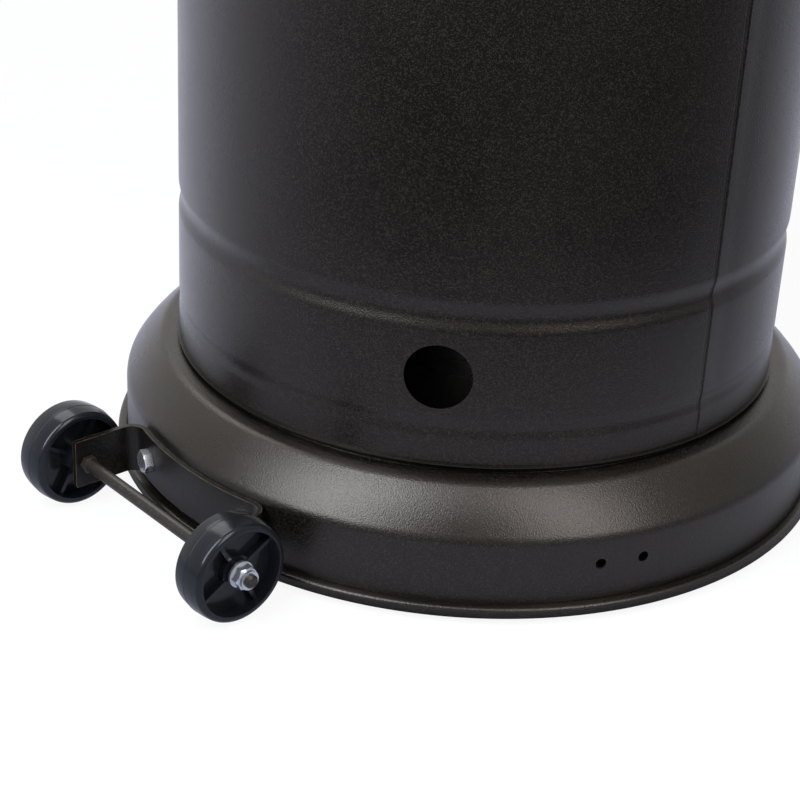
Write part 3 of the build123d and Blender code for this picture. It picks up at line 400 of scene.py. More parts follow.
# Coats with metal flake
BRONZE = Finish(
    "bronze_coat", (0.0020, 0.0013, 0.0008), (0.0028, 0.0019, 0.0012), 0.29,
    flake=0.36, flake_scale=1500.0, flake_colour=(0.058, 0.050, 0.043), flake_metal=1.0,
    bump=0.7, grain=1150.0, depth=0.00026, gloss_spread=0.02, specular=0.66,
    tint=(1.0, 0.92, 0.86))
SATIN_BRONZE = Finish(
    "satin_bronze", (0.0030, 0.0022, 0.0015), (0.0040, 0.0030, 0.0021), 0.58,
    flake=0.30, flake_scale=1500.0, flake_colour=(0.05, 0.042, 0.036), flake_metal=1.0,
    bump=0.7, grain=1150.0, depth=0.00026, gloss_spread=0.03, specular=0.3,
    tint=(1.0, 0.92, 0.86))
RUBBED_BRONZE = Finish(
    "rubbed_bronze", (0.0026, 0.0019, 0.0014), (0.0034, 0.0025, 0.0018), 0.34,
    flake=0.30, flake_scale=1600.0, flake_colour=(0.05, 0.042, 0.036), flake_metal=1.0,
    bump=0.6, grain=950.0, depth=0.00028, gloss_spread=0.02, specular=0.4,
    rub=0.9, rub_colour=(0.16, 0.115, 0.07))
AXLE_BROWN = Finish(
    "axle_brown", (0.009, 0.0064, 0.0044), (0.013, 0.0093, 0.0064), 0.34,
    flake=0.15, flake_scale=1800.0, flake_colour=(0.05, 0.038, 0.028),
    bump=0.3, grain=1300.0, depth=0.00008)

# Bare metals
ZINC = Finish(
    "zinc_plate", (0.76, 0.78, 0.82), (0.62, 0.65, 0.70), 0.22,
    metallic=0.92, bump=0.06, grain=1500.0)
ALUMINIUM = Finish(
    "rolled_aluminium", (0.62, 0.62, 0.63), (0.53, 0.53, 0.54), 0.24,
    metallic=1.0, bump=0.05, dust=0.1)
STAINLESS = Finish(
    "hot_stainless", (0.46, 0.43, 0.40), (0.33, 0.26, 0.21), 0.32,
    metallic=1.0, bump=0.05, mottle=30.0)
BRASS = Finish(
    "turned_brass", (0.68, 0.50, 0.24), (0.58, 0.41, 0.19), 0.28, metallic=1.0, bump=0.05)
GREY_CAST = Finish(
    "tumbled_casting", (0.46, 0.46, 0.47), (0.38, 0.38, 0.39), 0.44, metallic=1.0, bump=0.2)
DRAWN_TUBE = Finish("drawn_tube", (0.70, 0.70, 0.71), (0.62, 0.62, 0.63), 0.3, metallic=1.0)

# Plastics, rubber, paint and glaze
WHEEL_BLACK = Finish(
    "wheel_black", (0.0070, 0.0076, 0.0098), (0.0084, 0.0091, 0.0115), 0.18,
    bump=0.08, grain=500.0, depth=0.00008, gloss_spread=0.03, specular=0.38,
    tint=(0.90, 0.95, 1.0))
RUBBER = Finish("hose_rubber", (0.016, 0.016, 0.017), (0.024, 0.024, 0.024), 0.62, bump=0.15)
MOULDED = Finish(
    "moulded_black", (0.016, 0.016, 0.017), (0.020, 0.020, 0.021), 0.45, bump=0.2, grain=1400.0)
GLOSS_BLACK = Finish(
    "polished_black", (0.012, 0.012, 0.013), (0.016, 0.016, 0.017), 0.18, bump=0.02)
GREY_PAINT = Finish("grey_paint", (0.20, 0.205, 0.21), (0.22, 0.225, 0.23), 0.38, bump=0.1)
CERAMIC = Finish("glazed_ceramic", (0.72, 0.70, 0.66), (0.66, 0.64, 0.60), 0.16, coat=0.4)
MARK_WHITE = Finish("mark_white", (0.70, 0.70, 0.68), (0.64, 0.64, 0.62), 0.5, bump=0.05)

NODE_FINISH = {
    "wheel_bracket": RUBBED_BRONZE, "axle_rod": AXLE_BROWN, "housing_cap": SATIN_BRONZE,
}
SLOT_FINISH = {
    "body_paint": BRONZE, "zinc_steel": ZINC, "wheel_plastic": WHEEL_BLACK,
    "hose_rubber": RUBBER, "grey_casting": GREY_CAST, "regulator_paint": GREY_PAINT,
    "brass": BRASS, "knob_plastic": MOULDED, "button_plastic": GLOSS_BLACK,
    "pipe_aluminium": DRAWN_TUBE, "stainless": STAINLESS, "ceramic": CERAMIC,
    "reflector_aluminium": ALUMINIUM,
}


@dataclass(frozen=True)
class SoftBox:
    """Lamp that looks at the base, at angles in degrees from +X towards +Y and above the floor."""

    name: str
    azimuth: float
    rise: float
    size: Pair
    level: float
    colour: Colour = WHITE
    reach: float = 2.0

    def build(self) -> None:
        """Hang the lamp; its level is the brightness of its face."""
        data = bpy.data.lights.new(self.name, "AREA")
        data.shape = "RECTANGLE"
        data.size, data.size_y = self.size
        data.energy = self.level * math.pi * self.size[0] * self.size[1]
        data.color = self.colour
        made = bpy.data.objects.new(self.name, data)
        bpy.context.scene.collection.objects.link(made)
        up, turn = math.radians(self.rise), math.radians(self.azimuth)
        flat = math.cos(up)
        way = Vector((flat * math.cos(turn), flat * math.sin(turn), math.sin(up)))
        look = (-way).to_track_quat("-Z", "Y").to_matrix().to_4x4()
        made.matrix_world = Matrix.Translation(way * self.reach) @ look


@dataclass
class Studio:
    """Floor, white surroundings, lamps and camera; a pair of levels goes with a turn or band."""

    camera_at: Place = (-0.8354, 0.8101, 0.6211)
    camera_to: Place = (0.0317, 0.0327, 0.0211)
    roll: float = 2.911
    lens: float = 88.84
    sensor: float = 36.0
    clip_end: float = 50.0
    floor_half: float = 6.0
    floor_colour: Colour = (0.9, 0.9, 0.9)
    floor_roughness: float = 0.9
    under_band: Pair = (0.221, 0.222)
    # Painted shade in mirrors: the floor and sky that glossy rays see are dimmed towards this
    # direction
    mirror_shade_way: Place = (-0.899, 0.438, 0.0)
    far_turn: Pair = (0.82, -0.98)
    far_level: Pair = (0.05, 1.12)
    near_turn: Pair = (0.2, -1.0)
    near_level: Pair = (0.56, 1.20)
    far_band: Pair = (0.35, 0.75)
    # Painted shade: the floor seen in mirrors falls to this level near the base's foot
    foot_shade_band: Pair = (0.228, 0.255)
    foot_shade_level: float = 0.3
    # Painted reflection colour: the floor's tint as mirrors see it
    cool_tint: Colour = (0.84, 0.88, 1.06)
    # Painted shade of the sky in mirrors, by direction
    sky_turn: Pair = (0.1, -0.7)
    sky_level: Pair = (0.45, 0.85)
    sky_light: float = 0.35
    glow_level: Pair = (0.9, 1.0)
    glow_band: Pair = (0.8, 2.2)
    lamps: tuple[SoftBox, ...] = (
        SoftBox("box_right", 91.0, 45.0, (1.03, 1.87), 7.0, (0.95, 1.0, 1.10)),
        SoftBox("box_left", 175.0, 45.0, (0.70, 1.87), 4.5),
        SoftBox("box_front", 0.0, 58.0, (0.90, 1.20), 2.6),
    )

    def camera(self) -> None:
        """Set the camera at the photograph's place, angle and tilt."""
        data = bpy.data.cameras.new("camera")
        data.lens = self.lens
        data.sensor_width = self.sensor
        data.sensor_fit = "HORIZONTAL"
        data.clip_end = self.clip_end
        made = bpy.data.objects.new("camera", data)
        bpy.context.scene.collection.objects.link(made)
        ahead = (Vector(self.camera_to) - Vector(self.camera_at)).normalized()
        right = ahead.cross(Vector((0, 0, 1))).normalized()
        up = right.cross(ahead)
        tilt = math.radians(self.roll)
        across = right * math.cos(tilt) + up * math.sin(tilt)
        above = up * math.cos(tilt) - right * math.sin(tilt)
        turn = Matrix((across, above, -ahead)).transposed()
        made.matrix_world = Matrix.Translation(self.camera_at) @ turn.to_4x4()
        bpy.context.scene.camera = made

    def towards(self, desk: NodeDesk, way: Socket) -> Socket:
        """How far a direction points to the side that gets painted shade in mirrors.

        Args:
            desk: desk of the tree.
            way: socket of the direction.

        Returns:
            Socket that goes from -1, away from that side, to 1.
        """
        made = desk.node("ShaderNodeVectorMath", operation="DOT_PRODUCT")
        desk.link(way, made.inputs[0])
        made.inputs[1].default_value = self.mirror_shade_way
        return made.outputs["Value"]

    def rays(self, desk: NodeDesk) -> tuple[Socket, Socket]:
        """Tell what kind of ray is looking.

        Args:
            desk: desk of the tree.

        Returns:
            Sockets that are 1 for a ray straight from the camera and for a mirrored one.
        """
        path = desk.node("ShaderNodeLightPath").outputs
        direct = desk.math("MAXIMUM", path["Is Camera Ray"], path["Is Transmission Ray"])
        return direct, path["Is Glossy Ray"]

    def world(self) -> None:
        """White surroundings for the camera, painted shade to one side in mirrors, and a softer
        level for lighting.
        """
        made = bpy.data.worlds.new("studio")
        bpy.context.scene.world = made
        made.use_nodes = True
        desk = NodeDesk(made.node_tree)
        back = made.node_tree.nodes["Background"]
        back.inputs["Color"].default_value = (*WHITE, 1.0)
        direct, glossy = self.rays(desk)
        turn = self.towards(desk, desk.node("ShaderNodeTexCoord").outputs["Generated"])
        # painted shade: the sky seen in mirrors is dimmed towards one side
        dim = desk.ramp(turn, *self.sky_turn, *self.sky_level)
        mirrored = desk.math("MULTIPLY", glossy, dim)
        strength = desk.math("MAXIMUM", desk.math("MAXIMUM", direct, mirrored), self.sky_light)
        desk.link(strength, back.inputs["Strength"])

    def floor_paint(self) -> bpy.types.Material:
        """White paint that is even to the camera; in mirrors it shows a painted reflection,
        cool-tinted, darker to one side and near the base.

        Returns:
            The material, which has no glow under the base.
        """
        made = bpy.data.materials.new("floor_white")
        made.use_nodes = True
        desk = NodeDesk(made.node_tree)
        shader = made.node_tree.nodes["Principled BSDF"]
        shader.inputs["Base Color"].default_value = (*self.floor_colour, 1.0)
        shader.inputs["Roughness"].default_value = self.floor_roughness
        shader.inputs["Specular IOR Level"].default_value = 0.0
        place = desk.node("ShaderNodeNewGeometry").outputs["Position"]
        length = desk.node("ShaderNodeVectorMath", operation="LENGTH")
        desk.link(place, length.inputs[0])
        reach = length.outputs["Value"]
        ahead = desk.node("ShaderNodeVectorMath", operation="NORMALIZE")
        desk.link(place, ahead.inputs[0])
        # painted reflection: levels of the mirrored floor by direction and by distance from the
        # base
        turn = self.towards(desk, ahead.outputs[0])
        spread = desk.node("ShaderNodeMix", data_type="FLOAT")
        desk.link(desk.ramp(reach, *self.far_band), spread.inputs["Factor"])
        desk.link(desk.ramp(turn, *self.near_turn, *self.near_level), spread.inputs["A"])
        desk.link(desk.ramp(turn, *self.far_turn, *self.far_level), spread.inputs["B"])
        # painted shade: the mirrored floor is darker near the base's foot
        foot = desk.ramp(reach, *self.foot_shade_band, self.foot_shade_level, 1.0)
        level = desk.math("MULTIPLY", spread.outputs[0], foot)
        direct, glossy = self.rays(desk)
        mirrored = desk.math("MULTIPLY", glossy, level)
        glow = desk.node("ShaderNodeEmission")
        # painted reflection colour: only mirrors see the floor cool-tinted
        desk.link(desk.mix(glossy, WHITE, self.cool_tint), glow.inputs["Color"])
        desk.link(desk.math("MAXIMUM", direct, mirrored), glow.inputs["Strength"])
        bright = desk.ramp(reach, *self.glow_band, *self.glow_level)
        seen = desk.math("MAXIMUM", desk.math("MULTIPLY", direct, bright), glossy)
        open_floor = desk.ramp(reach, *self.under_band)
        blend = desk.node("ShaderNodeMixShader")
        desk.link(desk.math("MULTIPLY", seen, open_floor), blend.inputs["Fac"])
        desk.link(shader.outputs[0], blend.inputs[1])
        desk.link(glow.outputs[0], blend.inputs[2])
        desk.link(blend.outputs[0], made.node_tree.nodes["Material Output"].inputs["Surface"])
        return made

    def floor(self) -> None:
        """Wide white floor that keeps the heater's soft shadow and is dark under the base."""
        half = self.floor_half
        points = [(-half, -half, 0), (half, -half, 0), (half, half, 0), (-half, half, 0)]
        mesh = bpy.data.meshes.new("floor")
        mesh.from_pydata(points, [], [(0, 1, 2, 3)])
        made = bpy.data.objects.new("floor", mesh)
        bpy.context.scene.collection.objects.link(made)
        mesh.materials.append(self.floor_paint())

    def build(self) -> None:
        """Set up the whole studio."""
        bpy.context.scene.view_settings.view_transform = "Standard"
        self.world()
        self.floor()
        for lamp in self.lamps:
            lamp.build()
        self.camera()


@dataclass
class Workshop:
    """Makes pieces from points and faces, and keeps the finishes that are already built."""

    book: EffectBook
    made: dict[str, bpy.types.Material] = field(default_factory=dict)

    def finish(self, finish: Finish) -> bpy.types.Material:
        """Look up the material of a finish, which is built at its first use.

        Args:
            finish: the surface.

        Returns:
            Its material.
        """
        if finish.name not in self.made:
            self.made[finish.name] = finish.material(self.book)
        return self.made[finish.name]

    def dress(self) -> None:
        """Give every CAD node its own finish or that of its slot."""
        for part in frame["record"]["subparts"]:
            name, slot = part["node"], part["material_slot"]
            node = frame["nodes"][name]
            node.data.materials.clear()
            node.data.materials.append(self.finish(NODE_FINISH.get(name, SLOT_FINISH[slot])))
            LOG.info("dressed %s as %s", name, slot)

    def thicken(self, points: list, faces: list, depth: float) -> Shape:
        """Turn an open skin into a sheet with an inner side and closed rims.

        Args:
            points: corners of the skin.
            faces: index loops that look outwards.
            depth: thickness that is added behind the skin.

        Returns:
            The points and faces of the sheet.
        """
        skin = bmesh.new()
        corners = [skin.verts.new(point) for point in points]
        for face in faces:
            skin.faces.new([corners[k] for k in face])
        skin.verts.index_update()
        skin.normal_update()
        count = len(points)
        inner = [tuple(corner.co - corner.normal * depth) for corner in corners]
        rims = []
        for edge in skin.edges:
            if edge.is_boundary:
                loop = edge.link_loops[0]
                begin, end = loop.vert.index, loop.link_loop_next.vert.index
                rims.append((end, begin, begin + count, end + count))
        skin.free()
        back = [tuple(k + count for k in reversed(face)) for face in faces]
        return [*points, *inner], [*faces, *back, *rims]

    def lathe(self, profile: Section, segments: int) -> Shape:
        """Spin a closed profile round Z.

        Args:
            profile: radius and height of each corner, anticlockwise.
            segments: steps of the turn.

        Returns:
            The points and faces of the ring.
        """
        points, faces = [], []
        rows = len(profile)
        for k in range(segments):
            turn = math.tau * k / segments
            points += [turned(r, turn, z) for r, z in profile]
            for j in range(rows):
                ahead = (k + 1) % segments * rows
                up = (j + 1) % rows
                faces.append((k * rows + j, ahead + j, ahead + up, k * rows + up))
        return points, faces

    def piece(self, name: str, shape: Shape, body: Body, slot: str, finish: Finish,
              sharp: float = 35.0) -> bpy.types.Object:
        """Make a piece that moves with a body.

        Args:
            name: the piece's name.
            shape: its points and faces.
            body: the body that it moves with.
            slot: the record's material slot, which is not used.
            finish: its surface.
            sharp: angle in degrees from which an edge stays sharp.

        Returns:
            The new object.
        """
        mesh = bpy.data.meshes.new(name)
        mesh.from_pydata(shape[0], [], shape[1])
        mesh.shade_smooth()
        mesh.set_sharp_from_angle(angle=math.radians(sharp))
        mesh.materials.append(self.finish(finish))
        made = bpy.data.objects.new(name, mesh)
        bpy.context.scene.collection.objects.link(made)
        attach(made, body.value)
        LOG.info("made %s with %d faces", name, len(mesh.polygons))
        return made


def turned(radius: float, turn: float, z: float) -> Place:
    """Point at a radius, an angle in radians and a height."""
    return radius * math.cos(turn), radius * math.sin(turn), z


def joined(shapes: list[Shape]) -> Shape:
    """Put several shapes together.

    Args:
        shapes: points and faces of each.

    Returns:
        The points and faces of all.
    """
    points, faces = [], []
    for more, loops in shapes:
        faces += [tuple(k + len(points) for k in loop) for loop in loops]
        points += more
    return points, faces


def filled(marks: list[float], step: float) -> list[float]:
    """Add evenly spaced values where marks are further apart than a step.

    Args:
        marks: sorted values.
        step: largest distance between two values.

    Returns:
        The marks and the added values, sorted.
    """
    out = []
    for low, high in zip(marks, marks[1:]):
        parts = max(1, math.ceil((high - low) / step - TINY))
        out += [low + (high - low) * k / parts for k in range(parts)]
    return [*out, marks[-1]]


def traced(start: Pair, heading: float, moves: tuple, step: float = 5.0) -> Section:
    """Points along a bent sheet's section.

    Args:
        start: radius and height of the first point.
        heading: direction of the first move, in degrees from outwards to upwards.
        moves: lengths, or bends as a radius and a turn in degrees to the left.
        step: largest turn between two points of a bend.

    Returns:
        The points as radius and height.
    """
    r, z = start
    points = [start]
    for move in moves:
        if isinstance(move, tuple):
            radius, turn = move
            parts = max(1, math.ceil(abs(turn) / step))
            length = 2 * radius * math.sin(math.radians(abs(turn) / parts / 2))
        else:
            turn, parts, length = 0.0, 1, move
        for _ in range(parts):
            heading += turn / parts / 2
            r += length * math.cos(math.radians(heading))
            z += length * math.sin(math.radians(heading))
            heading += turn / parts / 2
            points.append((r, z))
    return points


@dataclass(frozen=True)
class RoundHole:
    """Round hole in an upright band: its place, radius and the square of grid it is cut in."""

    angle: float
    height: float
    radius: float
    window: float
    steps: int

    def offsets(self) -> list[float]:
        """Even steps across the square."""
        return [self.window * (2 * k / self.steps - 1) for k in range(self.steps + 1)]


@dataclass
class RoundSheet:
    """Sheet metal turned round the heater's axis, with round holes in an upright band."""

    shop: Workshop
    radius: float
    sheet: float
    holes: tuple[RoundHole, ...]
    column_step: float = 2.0
    row_step: float = 0.01
    hole_rings: int = 2

    def profile(self) -> Section:
        """Section of the outer side from its foot on, as radius and height."""
        raise NotImplementedError

    def seam_marks(self) -> set[float]:
        """Angles at which the grid needs a column."""
        return set()

    def rise(self, angle: float) -> float:
        """How far the sheet stands out at an angle."""
        return 0.0

    def hole_angle(self, hole: RoundHole, off: float) -> float:
        """Angle in degrees of a place beside a hole's middle."""
        return hole.angle + math.degrees(math.asin(off / self.radius))

    def columns(self) -> list[float]:
        """Lay out the grid, close together at the holes.

        Returns:
            Its angles in degrees.
        """
        marks = self.seam_marks()
        for hole in self.holes:
            offsets = hole.offsets()
            marks |= {round(self.hole_angle(hole, off), ANGLE_DIGITS) for off in offsets}
        ordered = sorted(marks)
        return filled([*ordered, ordered[0] + 360.0], self.column_step)[:-1]

    def hole_rows(self) -> set[float]:
        """Heights at which the band needs a row."""
        rows = [hole.height + off for hole in self.holes for off in hole.offsets()]
        return {round(row, LENGTH_DIGITS) for row in rows}

    def point(self, angle: float, reach: float, z: float) -> Place:
        """Point on the outer side at an angle, for a radius and a height of the section."""
        return turned(reach + self.rise(angle), math.radians(angle), z)

    def cells(self, hole: RoundHole, rows: Section, columns: list[float]) -> tuple[range, range]:
        """Cells of the grid that a hole's square takes up.

        Args:
            hole: the hole.
            rows: section of the sheet.
            columns: angles of the grid.

        Returns:
            The columns and the rows of the cells.
        """
        left = self.hole_angle(hole, -hole.window)
        foot = hole.height - hole.window
        first = min(range(len(columns)), key=lambda i: abs(columns[i] - left))
        low = min(range(len(rows)), key=lambda j: abs(rows[j][1] - foot))
        return range(first, first + hole.steps), range(low, low + hole.steps)

    def cut(self, hole: RoundHole, across: range, tall: range, wide: int,
            points: list, faces: list) -> None:
        """Fill a hole's square with rings of faces round the opening.

        Args:
            hole: the hole.
            across: columns of the square.
            tall: rows of the square.
            wide: number of columns of the grid.
            points: list that the new points join.
            faces: list that the new faces join.
        """
        last = hole.steps
        spots = [(i, 0) for i in range(last)] + [(last, j) for j in range(last)]
        spots += [(last - i, last) for i in range(last)] + [(0, last - j) for j in range(last)]
        outer = [(tall.start + j) * wide + across.start + i for i, j in spots]
        offsets = hole.offsets()
        count = len(spots)
        for ring in range(1, self.hole_rings + 1):
            share = ring / self.hole_rings
            inner = []
            for i, j in spots:
                scale = 1 - share + share * hole.radius / math.hypot(offsets[i], offsets[j])
                angle = self.hole_angle(hole, offsets[i] * scale)
                inner.append(len(points))
                points.append(self.point(angle, self.radius, hole.height + offsets[j] * scale))
            for k in range(count):
                ahead = (k + 1) % count
                faces.append((outer[k], outer[ahead], inner[ahead], inner[k]))
            outer = inner

    def shape(self) -> Shape:
        """Build the whole sheet.

        Returns:
            Its points and faces.
        """
        rows, columns = self.profile(), self.columns()
        wide = len(columns)
        points = [self.point(angle, reach, z) for reach, z in rows for angle in columns]
        faces = []
        windows = [self.cells(hole, rows, columns) for hole in self.holes]
        for j in range(len(rows) - 1):
            for i in range(wide):
                if any(j in tall and i in across for across, tall in windows):
                    continue
                ahead = (i + 1) % wide
                low, high = j * wide, (j + 1) * wide
                faces.append((low + i, low + ahead, high + ahead, high + i))
        for hole, (across, tall) in zip(self.holes, windows):
            self.cut(hole, across, tall, wide, points, faces)
        return self.shop.thicken(points, faces, self.sheet)


@dataclass(frozen=True)
class Groove:
    """Rolled groove: its height over the foot, its reach above and below that, and its depth."""

    middle: float
    above: float
    below: float
    deep: float
    steps: int = 9

    def marks(self) -> set[float]:
        """Heights over the foot at which the section needs a row."""
        ways = [way * k / self.steps for way in (self.above, -self.below)
                for k in range(self.steps + 1)]
        return {round(self.middle + way, LENGTH_DIGITS) for way in ways}

    def depth(self, z: float) -> float:
        """How far the wall is pressed in at a height over the foot."""
        share = (z - self.middle) / (self.above if z > self.middle else self.below)
        return self.deep * (0.5 + 0.5 * math.cos(math.pi * share)) if abs(share) < 1 else 0.0


@dataclass
class HousingShell(RoundSheet):
    """Rolled bottle housing: a turned-out foot, grooves, a lap seam and two round vents."""

    radius: float = 0.190
    sheet: float = 0.0008
    holes: tuple[RoundHole, ...] = ()
    row_step: float = 0.04
    height: float = 0.750
    foot_trim: float = 0.0027
    flange: float = 0.0018
    grooves: tuple[Groove, ...] = (
        Groove(0.025, 0.007, 0.007, 0.0007),
        Groove(0.0927, 0.0115, 0.0095, 0.0018),
        Groove(0.6563, 0.0095, 0.0115, 0.0018),
    )
    seam_angle: float = 180.9
    lap: float = 0.0007
    lap_reach: float = 0.010
    crease_at: float = -0.0032
    crease_half: float = 0.00045
    crease_deep: float = 0.00015
    seam_steps: tuple[float, ...] = (
        -0.0044, -0.0037, -0.0032, -0.0027, -0.0020, -0.0004,
        0.0, 0.0025, 0.005, 0.0075, 0.010,
    )
    vent_angles: Pair = (130.5, 310.5)
    vent_z: float = 0.056
    vent_radius: float = 0.0195
    vent_window: float = 0.022
    vent_steps: int = 12
    foot: float = field(init=False, default=0.0)

    def profile(self) -> Section:
        """Section with its turned-out edge and its rolled grooves.

        Returns:
            Its points as radius and height.
        """
        vents = {round(z - self.foot, LENGTH_DIGITS) for z in self.hole_rows()}
        marks = vents.union((self.foot_trim, self.height), *(g.marks() for g in self.grooves))
        heights = filled(sorted(marks), self.row_step)
        wall = [(self.reach(z), self.foot + z) for z in heights]
        return [(self.radius + self.flange, self.foot + self.foot_trim), *wall]

    def reach(self, z: float) -> float:
        """Radius at a height over the foot."""
        return self.radius - sum(groove.depth(z) for groove in self.grooves)

    def seam_marks(self) -> set[float]:
        """Columns at the edge of the lap, at its crease and along its fall."""
        turns = [math.degrees(off / self.radius) for off in self.seam_steps]
        return {round(self.seam_angle + turn, ANGLE_DIGITS) for turn in turns}

    def rise(self, angle: float) -> float:
        """The upper sheet stands out at the seam and falls back; a crease runs beside its edge.

        Args:
            angle: degrees from +X towards +Y.

        Returns:
            How far the sheet stands out there.
        """
        off = math.radians((angle - self.seam_angle + 180.0) % 360.0 - 180.0) * self.radius
        if -TINY <= off < self.lap_reach:
            return self.lap * (1 - off / self.lap_reach)
        if abs(off - self.crease_at) < self.crease_half:
            return -self.crease_deep
        return 0.0

    def build(self) -> None:
        """Make the shell in place of its CAD node."""
        self.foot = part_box("housing_shell")[0].z
        cut = (self.foot + self.vent_z, self.vent_radius, self.vent_window, self.vent_steps)
        self.holes = tuple(RoundHole(angle, *cut) for angle in self.vent_angles)
        made = self.shop.piece(
            "bottle_housing", self.shape(), Body.HOUSING, "body_paint", BRONZE)
        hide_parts("housing_shell")


@dataclass
class BasePan(RoundSheet):
    """Spun base: rolled rim, wall with spare holes, shoulder and an apron under the housing."""

    radius: float = 0.223779
    sheet: float = 0.0008
    holes: tuple[RoundHole, ...] = tuple(
        RoundHole(angle, height=0.0338, radius=0.00325, window=0.005, steps=6)
        for angle in (157.0, 163.9))
    rim_centre: Pair = (0.2264, 0.0073)
    rim_radius: float = 0.0036
    rim_square: float = 0.6
    rim_steps: int = 48
    rim_segments: int = 240
    wall: float = 0.0395
    shoulder: tuple = ((0.012, 34.0), (0.0882, 18.0), (0.010, 31.0))
    apron: tuple = (
        0.0068, (0.0012, 80.0), 0.0022, (0.0003, -73.0), 0.0045, (0.0003, -90.0), 0.0048,
    )

    def profile(self) -> Section:
        """Section from the rim up the wall, over the shoulder, in under the housing and up.

        Returns:
            Its points as radius and height.
        """
        start = (self.radius, self.rim_centre[1])
        moves = (self.wall, *self.shoulder, *self.apron)
        outside = traced(start, heading=90.0, moves=moves)
        marks = sorted({start[1], outside[1][1]} | self.hole_rows())
        return [(self.radius, z) for z in filled(marks, self.row_step)] + outside[2:]

    def rim(self) -> Section:
        """Flattened section of the rolled rim.

        Returns:
            Its corners as radius and height.
        """
        corners = []
        for k in range(self.rim_steps):
            turn = math.tau * (k + 0.5) / self.rim_steps
            across, up = (
                self.rim_radius * math.copysign(abs(way) ** self.rim_square, way)
                for way in (math.cos(turn), math.sin(turn)))
            corners.append((self.rim_centre[0] + across, self.rim_centre[1] + up))
        return corners

    def build(self) -> None:
        """Make the base in place of its CAD node."""
        shape = joined([self.shape(), self.shop.lathe(self.rim(), self.rim_segments)])
        made = self.shop.piece("spun_base", shape, Body.BASE, "body_paint", BRONZE)
        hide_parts("base_pan")


@dataclass
class EmitterScreen:
    """Perforated tube that glows over the burner, with one hole in each cell of a grid."""

    shop: Workshop
    columns: int = 52
    rows: int = 25
    hole_radius: float = 0.0035
    sheet: float = 0.001
    cell: tuple[Pair, ...] = (
        (0, 0), (0.5, 0), (1, 0), (1, 0.5), (1, 1), (0.5, 1), (0, 1), (0, 0.5),
    )

    def build(self) -> None:
        """Make the screen in place of its CAD node, with staggered holes."""
        low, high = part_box("emitter_screen")
        radius = high[0]
        step = math.tau / self.columns
        rise = (high[2] - low[2]) / self.rows
        around = 2 * self.columns
        points, faces = [], []

        def put(across: float, up: float) -> int:
            """Add a point at a place of the unrolled screen, and return its index."""
            points.append(turned(radius, across * step, low[2] + up * rise))
            return len(points) - 1

        @cache
        def corner(across: int, up: int) -> int:
            """Index of a corner that cells share, counted in half columns and half rows."""
            return put(across / 2, up / 2)

        for j in range(self.rows):
            for i in range(self.columns):
                left = i + 0.5 * (j % 2)
                outer = [corner(round(2 * (left + across)) % around, round(2 * (j + up)))
                         for across, up in self.cell]
                inner = []
                for across, up in self.cell:
                    turn = math.atan2(up - 0.5, across - 0.5)
                    aside = self.hole_radius * math.cos(turn) / (radius * step)
                    above = self.hole_radius * math.sin(turn) / rise
                    inner.append(put(left + 0.5 + aside, j + 0.5 + above))
                for k in range(len(self.cell)):
                    ahead = (k + 1) % len(self.cell)
                    faces.append((outer[k], outer[ahead], inner[ahead], inner[k]))
        shape = self.shop.thicken(points, faces, self.sheet)
        made = self.shop.piece("perforated_screen", shape, Body.BASE, "stainless", STAINLESS)
        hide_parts("emitter_screen")


@dataclass
class WheelBeads:
    """Faint moulding line round the tread of each wheel, with sides as shares of its crown."""

    shop: Workshop
    half_width: float = 0.0005
    proud: float = 0.00018
    sink: float = 0.0006
    side_width: float = 0.6
    side_proud: float = 0.5
    segments: int = 96
    sharp: float = 80.0

    def build(self) -> None:
        """Make one bead on each wheel."""
        wide, near = self.half_width, self.half_width * self.side_width
        for body in (Body.WHEEL_LEFT, Body.WHEEL_RIGHT):
            low, high = (Vector(corner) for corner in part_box(body.value))
            radius = (high.z - low.z) / 2
            middle = (low + high) / 2
            inner, side = radius - self.sink, radius + self.proud * self.side_proud
            crown = (radius + self.proud, 0.0)
            profile = [(inner, -wide), (side, -near), crown, (side, near), (inner, wide)]
            points, faces = self.shop.lathe(profile, self.segments)
            laid = [(middle.x + z, middle.y + x, middle.z + y) for x, y, z in points]
            self.shop.piece(
                f"{body.value}_bead", (laid, faces), body, "wheel_plastic", WHEEL_BLACK,
                self.sharp)


@dataclass
class AxleStops:
    """Six-sided collars on the axle rod, one inside each ear of the bracket."""

    shop: Workshop
    ear: float = 0.003
    gap: float = 0.0002
    rings: tuple[Pair, ...] = ((0.0, 0.0047), (0.0006, 0.0057), (0.0040, 0.0057), (0.0046, 0.0047))
    sides: int = 6

    def collar(self, hand: int, outside: float, y: float, z: float) -> Shape:
        """Build one collar.

        Args:
            hand: -1 or 1, the end of the rod along X.
            outside: distance of its outer face from the middle.
            y: place of the rod.
            z: height of the rod.

        Returns:
            Its points and faces.
        """
        points, faces = [], []
        for back, reach in self.rings:
            for k in range(self.sides):
                turn = math.tau * k / self.sides * hand
                aside, up = reach * math.cos(turn), reach * math.sin(turn)
                points.append((hand * (outside - back), y + aside, z + up))
        last = len(points) - self.sides
        for row in range(0, last, self.sides):
            for k in range(self.sides):
                ahead, after = (k + 1) % self.sides, row + self.sides
                faces.append((row + ahead, row + k, after + k, after + ahead))
        faces.append(tuple(range(self.sides)))
        faces.append(tuple(reversed(range(last, len(points)))))
        return points, faces

    def build(self) -> None:
        """Put both collars on the rod."""
        low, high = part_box("axle_rod")
        y, z = (low[1] + high[1]) / 2, (low[2] + high[2]) / 2
        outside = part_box("wheel_bracket")[1][0] - self.ear - self.gap
        shape = joined([self.collar(hand, outside, y, z) for hand in (-1, 1)])
        self.shop.piece("axle_stops", shape, Body.BASE, "body_paint", AXLE_BROWN)


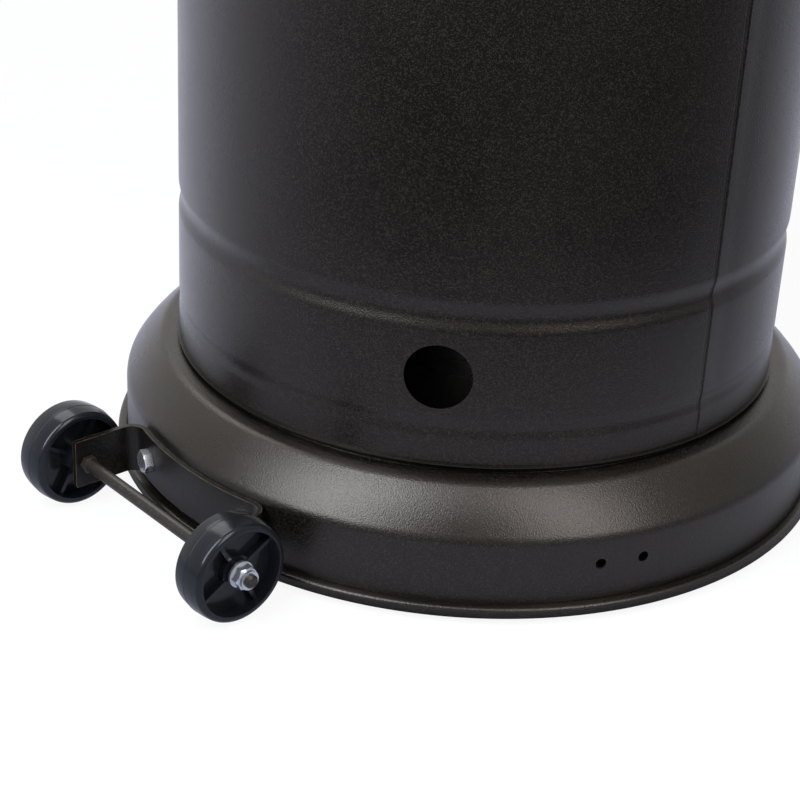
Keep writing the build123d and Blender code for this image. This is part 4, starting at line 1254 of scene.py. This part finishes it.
@dataclass
class ControlMarks:
    """Printed marks of the gas control: a line on the knob and growing dots on its panel."""

    shop: Workshop
    line: Pair = (0.0008, 0.009)
    line_lift: float = 0.0025
    line_steps: int = 8
    thick: float = 0.0002
    dial_radius: float = 0.029
    dots: tuple[Pair, ...] = (
        (0.0, 0.0012), (100.0, 0.0009), (122.0, 0.0012), (145.0, 0.0015), (167.0, 0.0018),
        (190.0, 0.0022),
    )
    dot_segments: int = 24

    def slab(self, outline: Section, front: float) -> Shape:
        """Thin printed layer on a face that looks towards -Y.

        Args:
            outline: its corners as x and z, anticlockwise as seen from the front.
            front: y of the face that it lies on.

        Returns:
            The layer's points and faces.
        """
        count = len(outline)
        points = [(x, y, z) for y in (front - self.thick, front + self.thick) for x, z in outline]
        faces = [tuple(range(count)), tuple(range(2 * count - 1, count - 1, -1))]
        for k in range(count):
            ahead = (k + 1) % count
            faces.append((ahead, k, k + count, ahead + count))
        return points, faces

    def stroke(self, x: float, foot: float) -> Section:
        """Outline of the knob's line, which has round ends.

        Args:
            x: its middle.
            foot: height of its lower end.

        Returns:
            Its corners as x and z.
        """
        half, length = self.line
        turns = [math.pi * k / self.line_steps for k in range(self.line_steps + 1)]
        arc = [(half * math.cos(turn), half * math.sin(turn)) for turn in turns]
        upper = [(x + aside, foot + length - half + up) for aside, up in arc]
        return upper + [(x - aside, foot + half - up) for aside, up in arc]

    def disc(self, x: float, z: float, radius: float) -> Section:
        """Outline of a dot."""
        turns = [math.tau * k / self.dot_segments for k in range(self.dot_segments)]
        return [(x + radius * math.cos(turn), z + radius * math.sin(turn)) for turn in turns]

    def build(self) -> None:
        """Put the line on the knob and the dots on the panel."""
        low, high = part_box("control_knob")
        centre = Vector(((low[0] + high[0]) / 2, low[1], (low[2] + high[2]) / 2))
        line = self.slab(self.stroke(centre.x, centre.z + self.line_lift), centre.y)
        self.shop.piece("knob_line", line, Body.KNOB, "ceramic", MARK_WHITE)
        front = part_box("control_panel")[0][1]
        dots = []
        for angle, radius in self.dots:
            turn = math.radians(angle)
            x = centre.x - self.dial_radius * math.sin(turn)
            z = centre.z + self.dial_radius * math.cos(turn)
            dots.append(self.slab(self.disc(x, z, radius), front))
        self.shop.piece("dial_dots", joined(dots), Body.BASE, "ceramic", MARK_WHITE)


def corners(box: tuple[Vector, Vector]) -> list[list[float]]:
    """A box as plain lists of numbers."""
    return [[float(value) for value in corner] for corner in box]


def main() -> None:
    """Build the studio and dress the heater."""
    logging.basicConfig(level=logging.INFO, format="%(name)s: %(message)s")
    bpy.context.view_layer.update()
    Studio().build()
    shop = Workshop(EffectBook())
    shop.dress()
    BasePan(shop).build()
    HousingShell(shop).build()
    EmitterScreen(shop).build()
    WheelBeads(shop).build()
    AxleStops(shop).build()
    ControlMarks(shop).build()


if __name__ == "__main__":
    main()
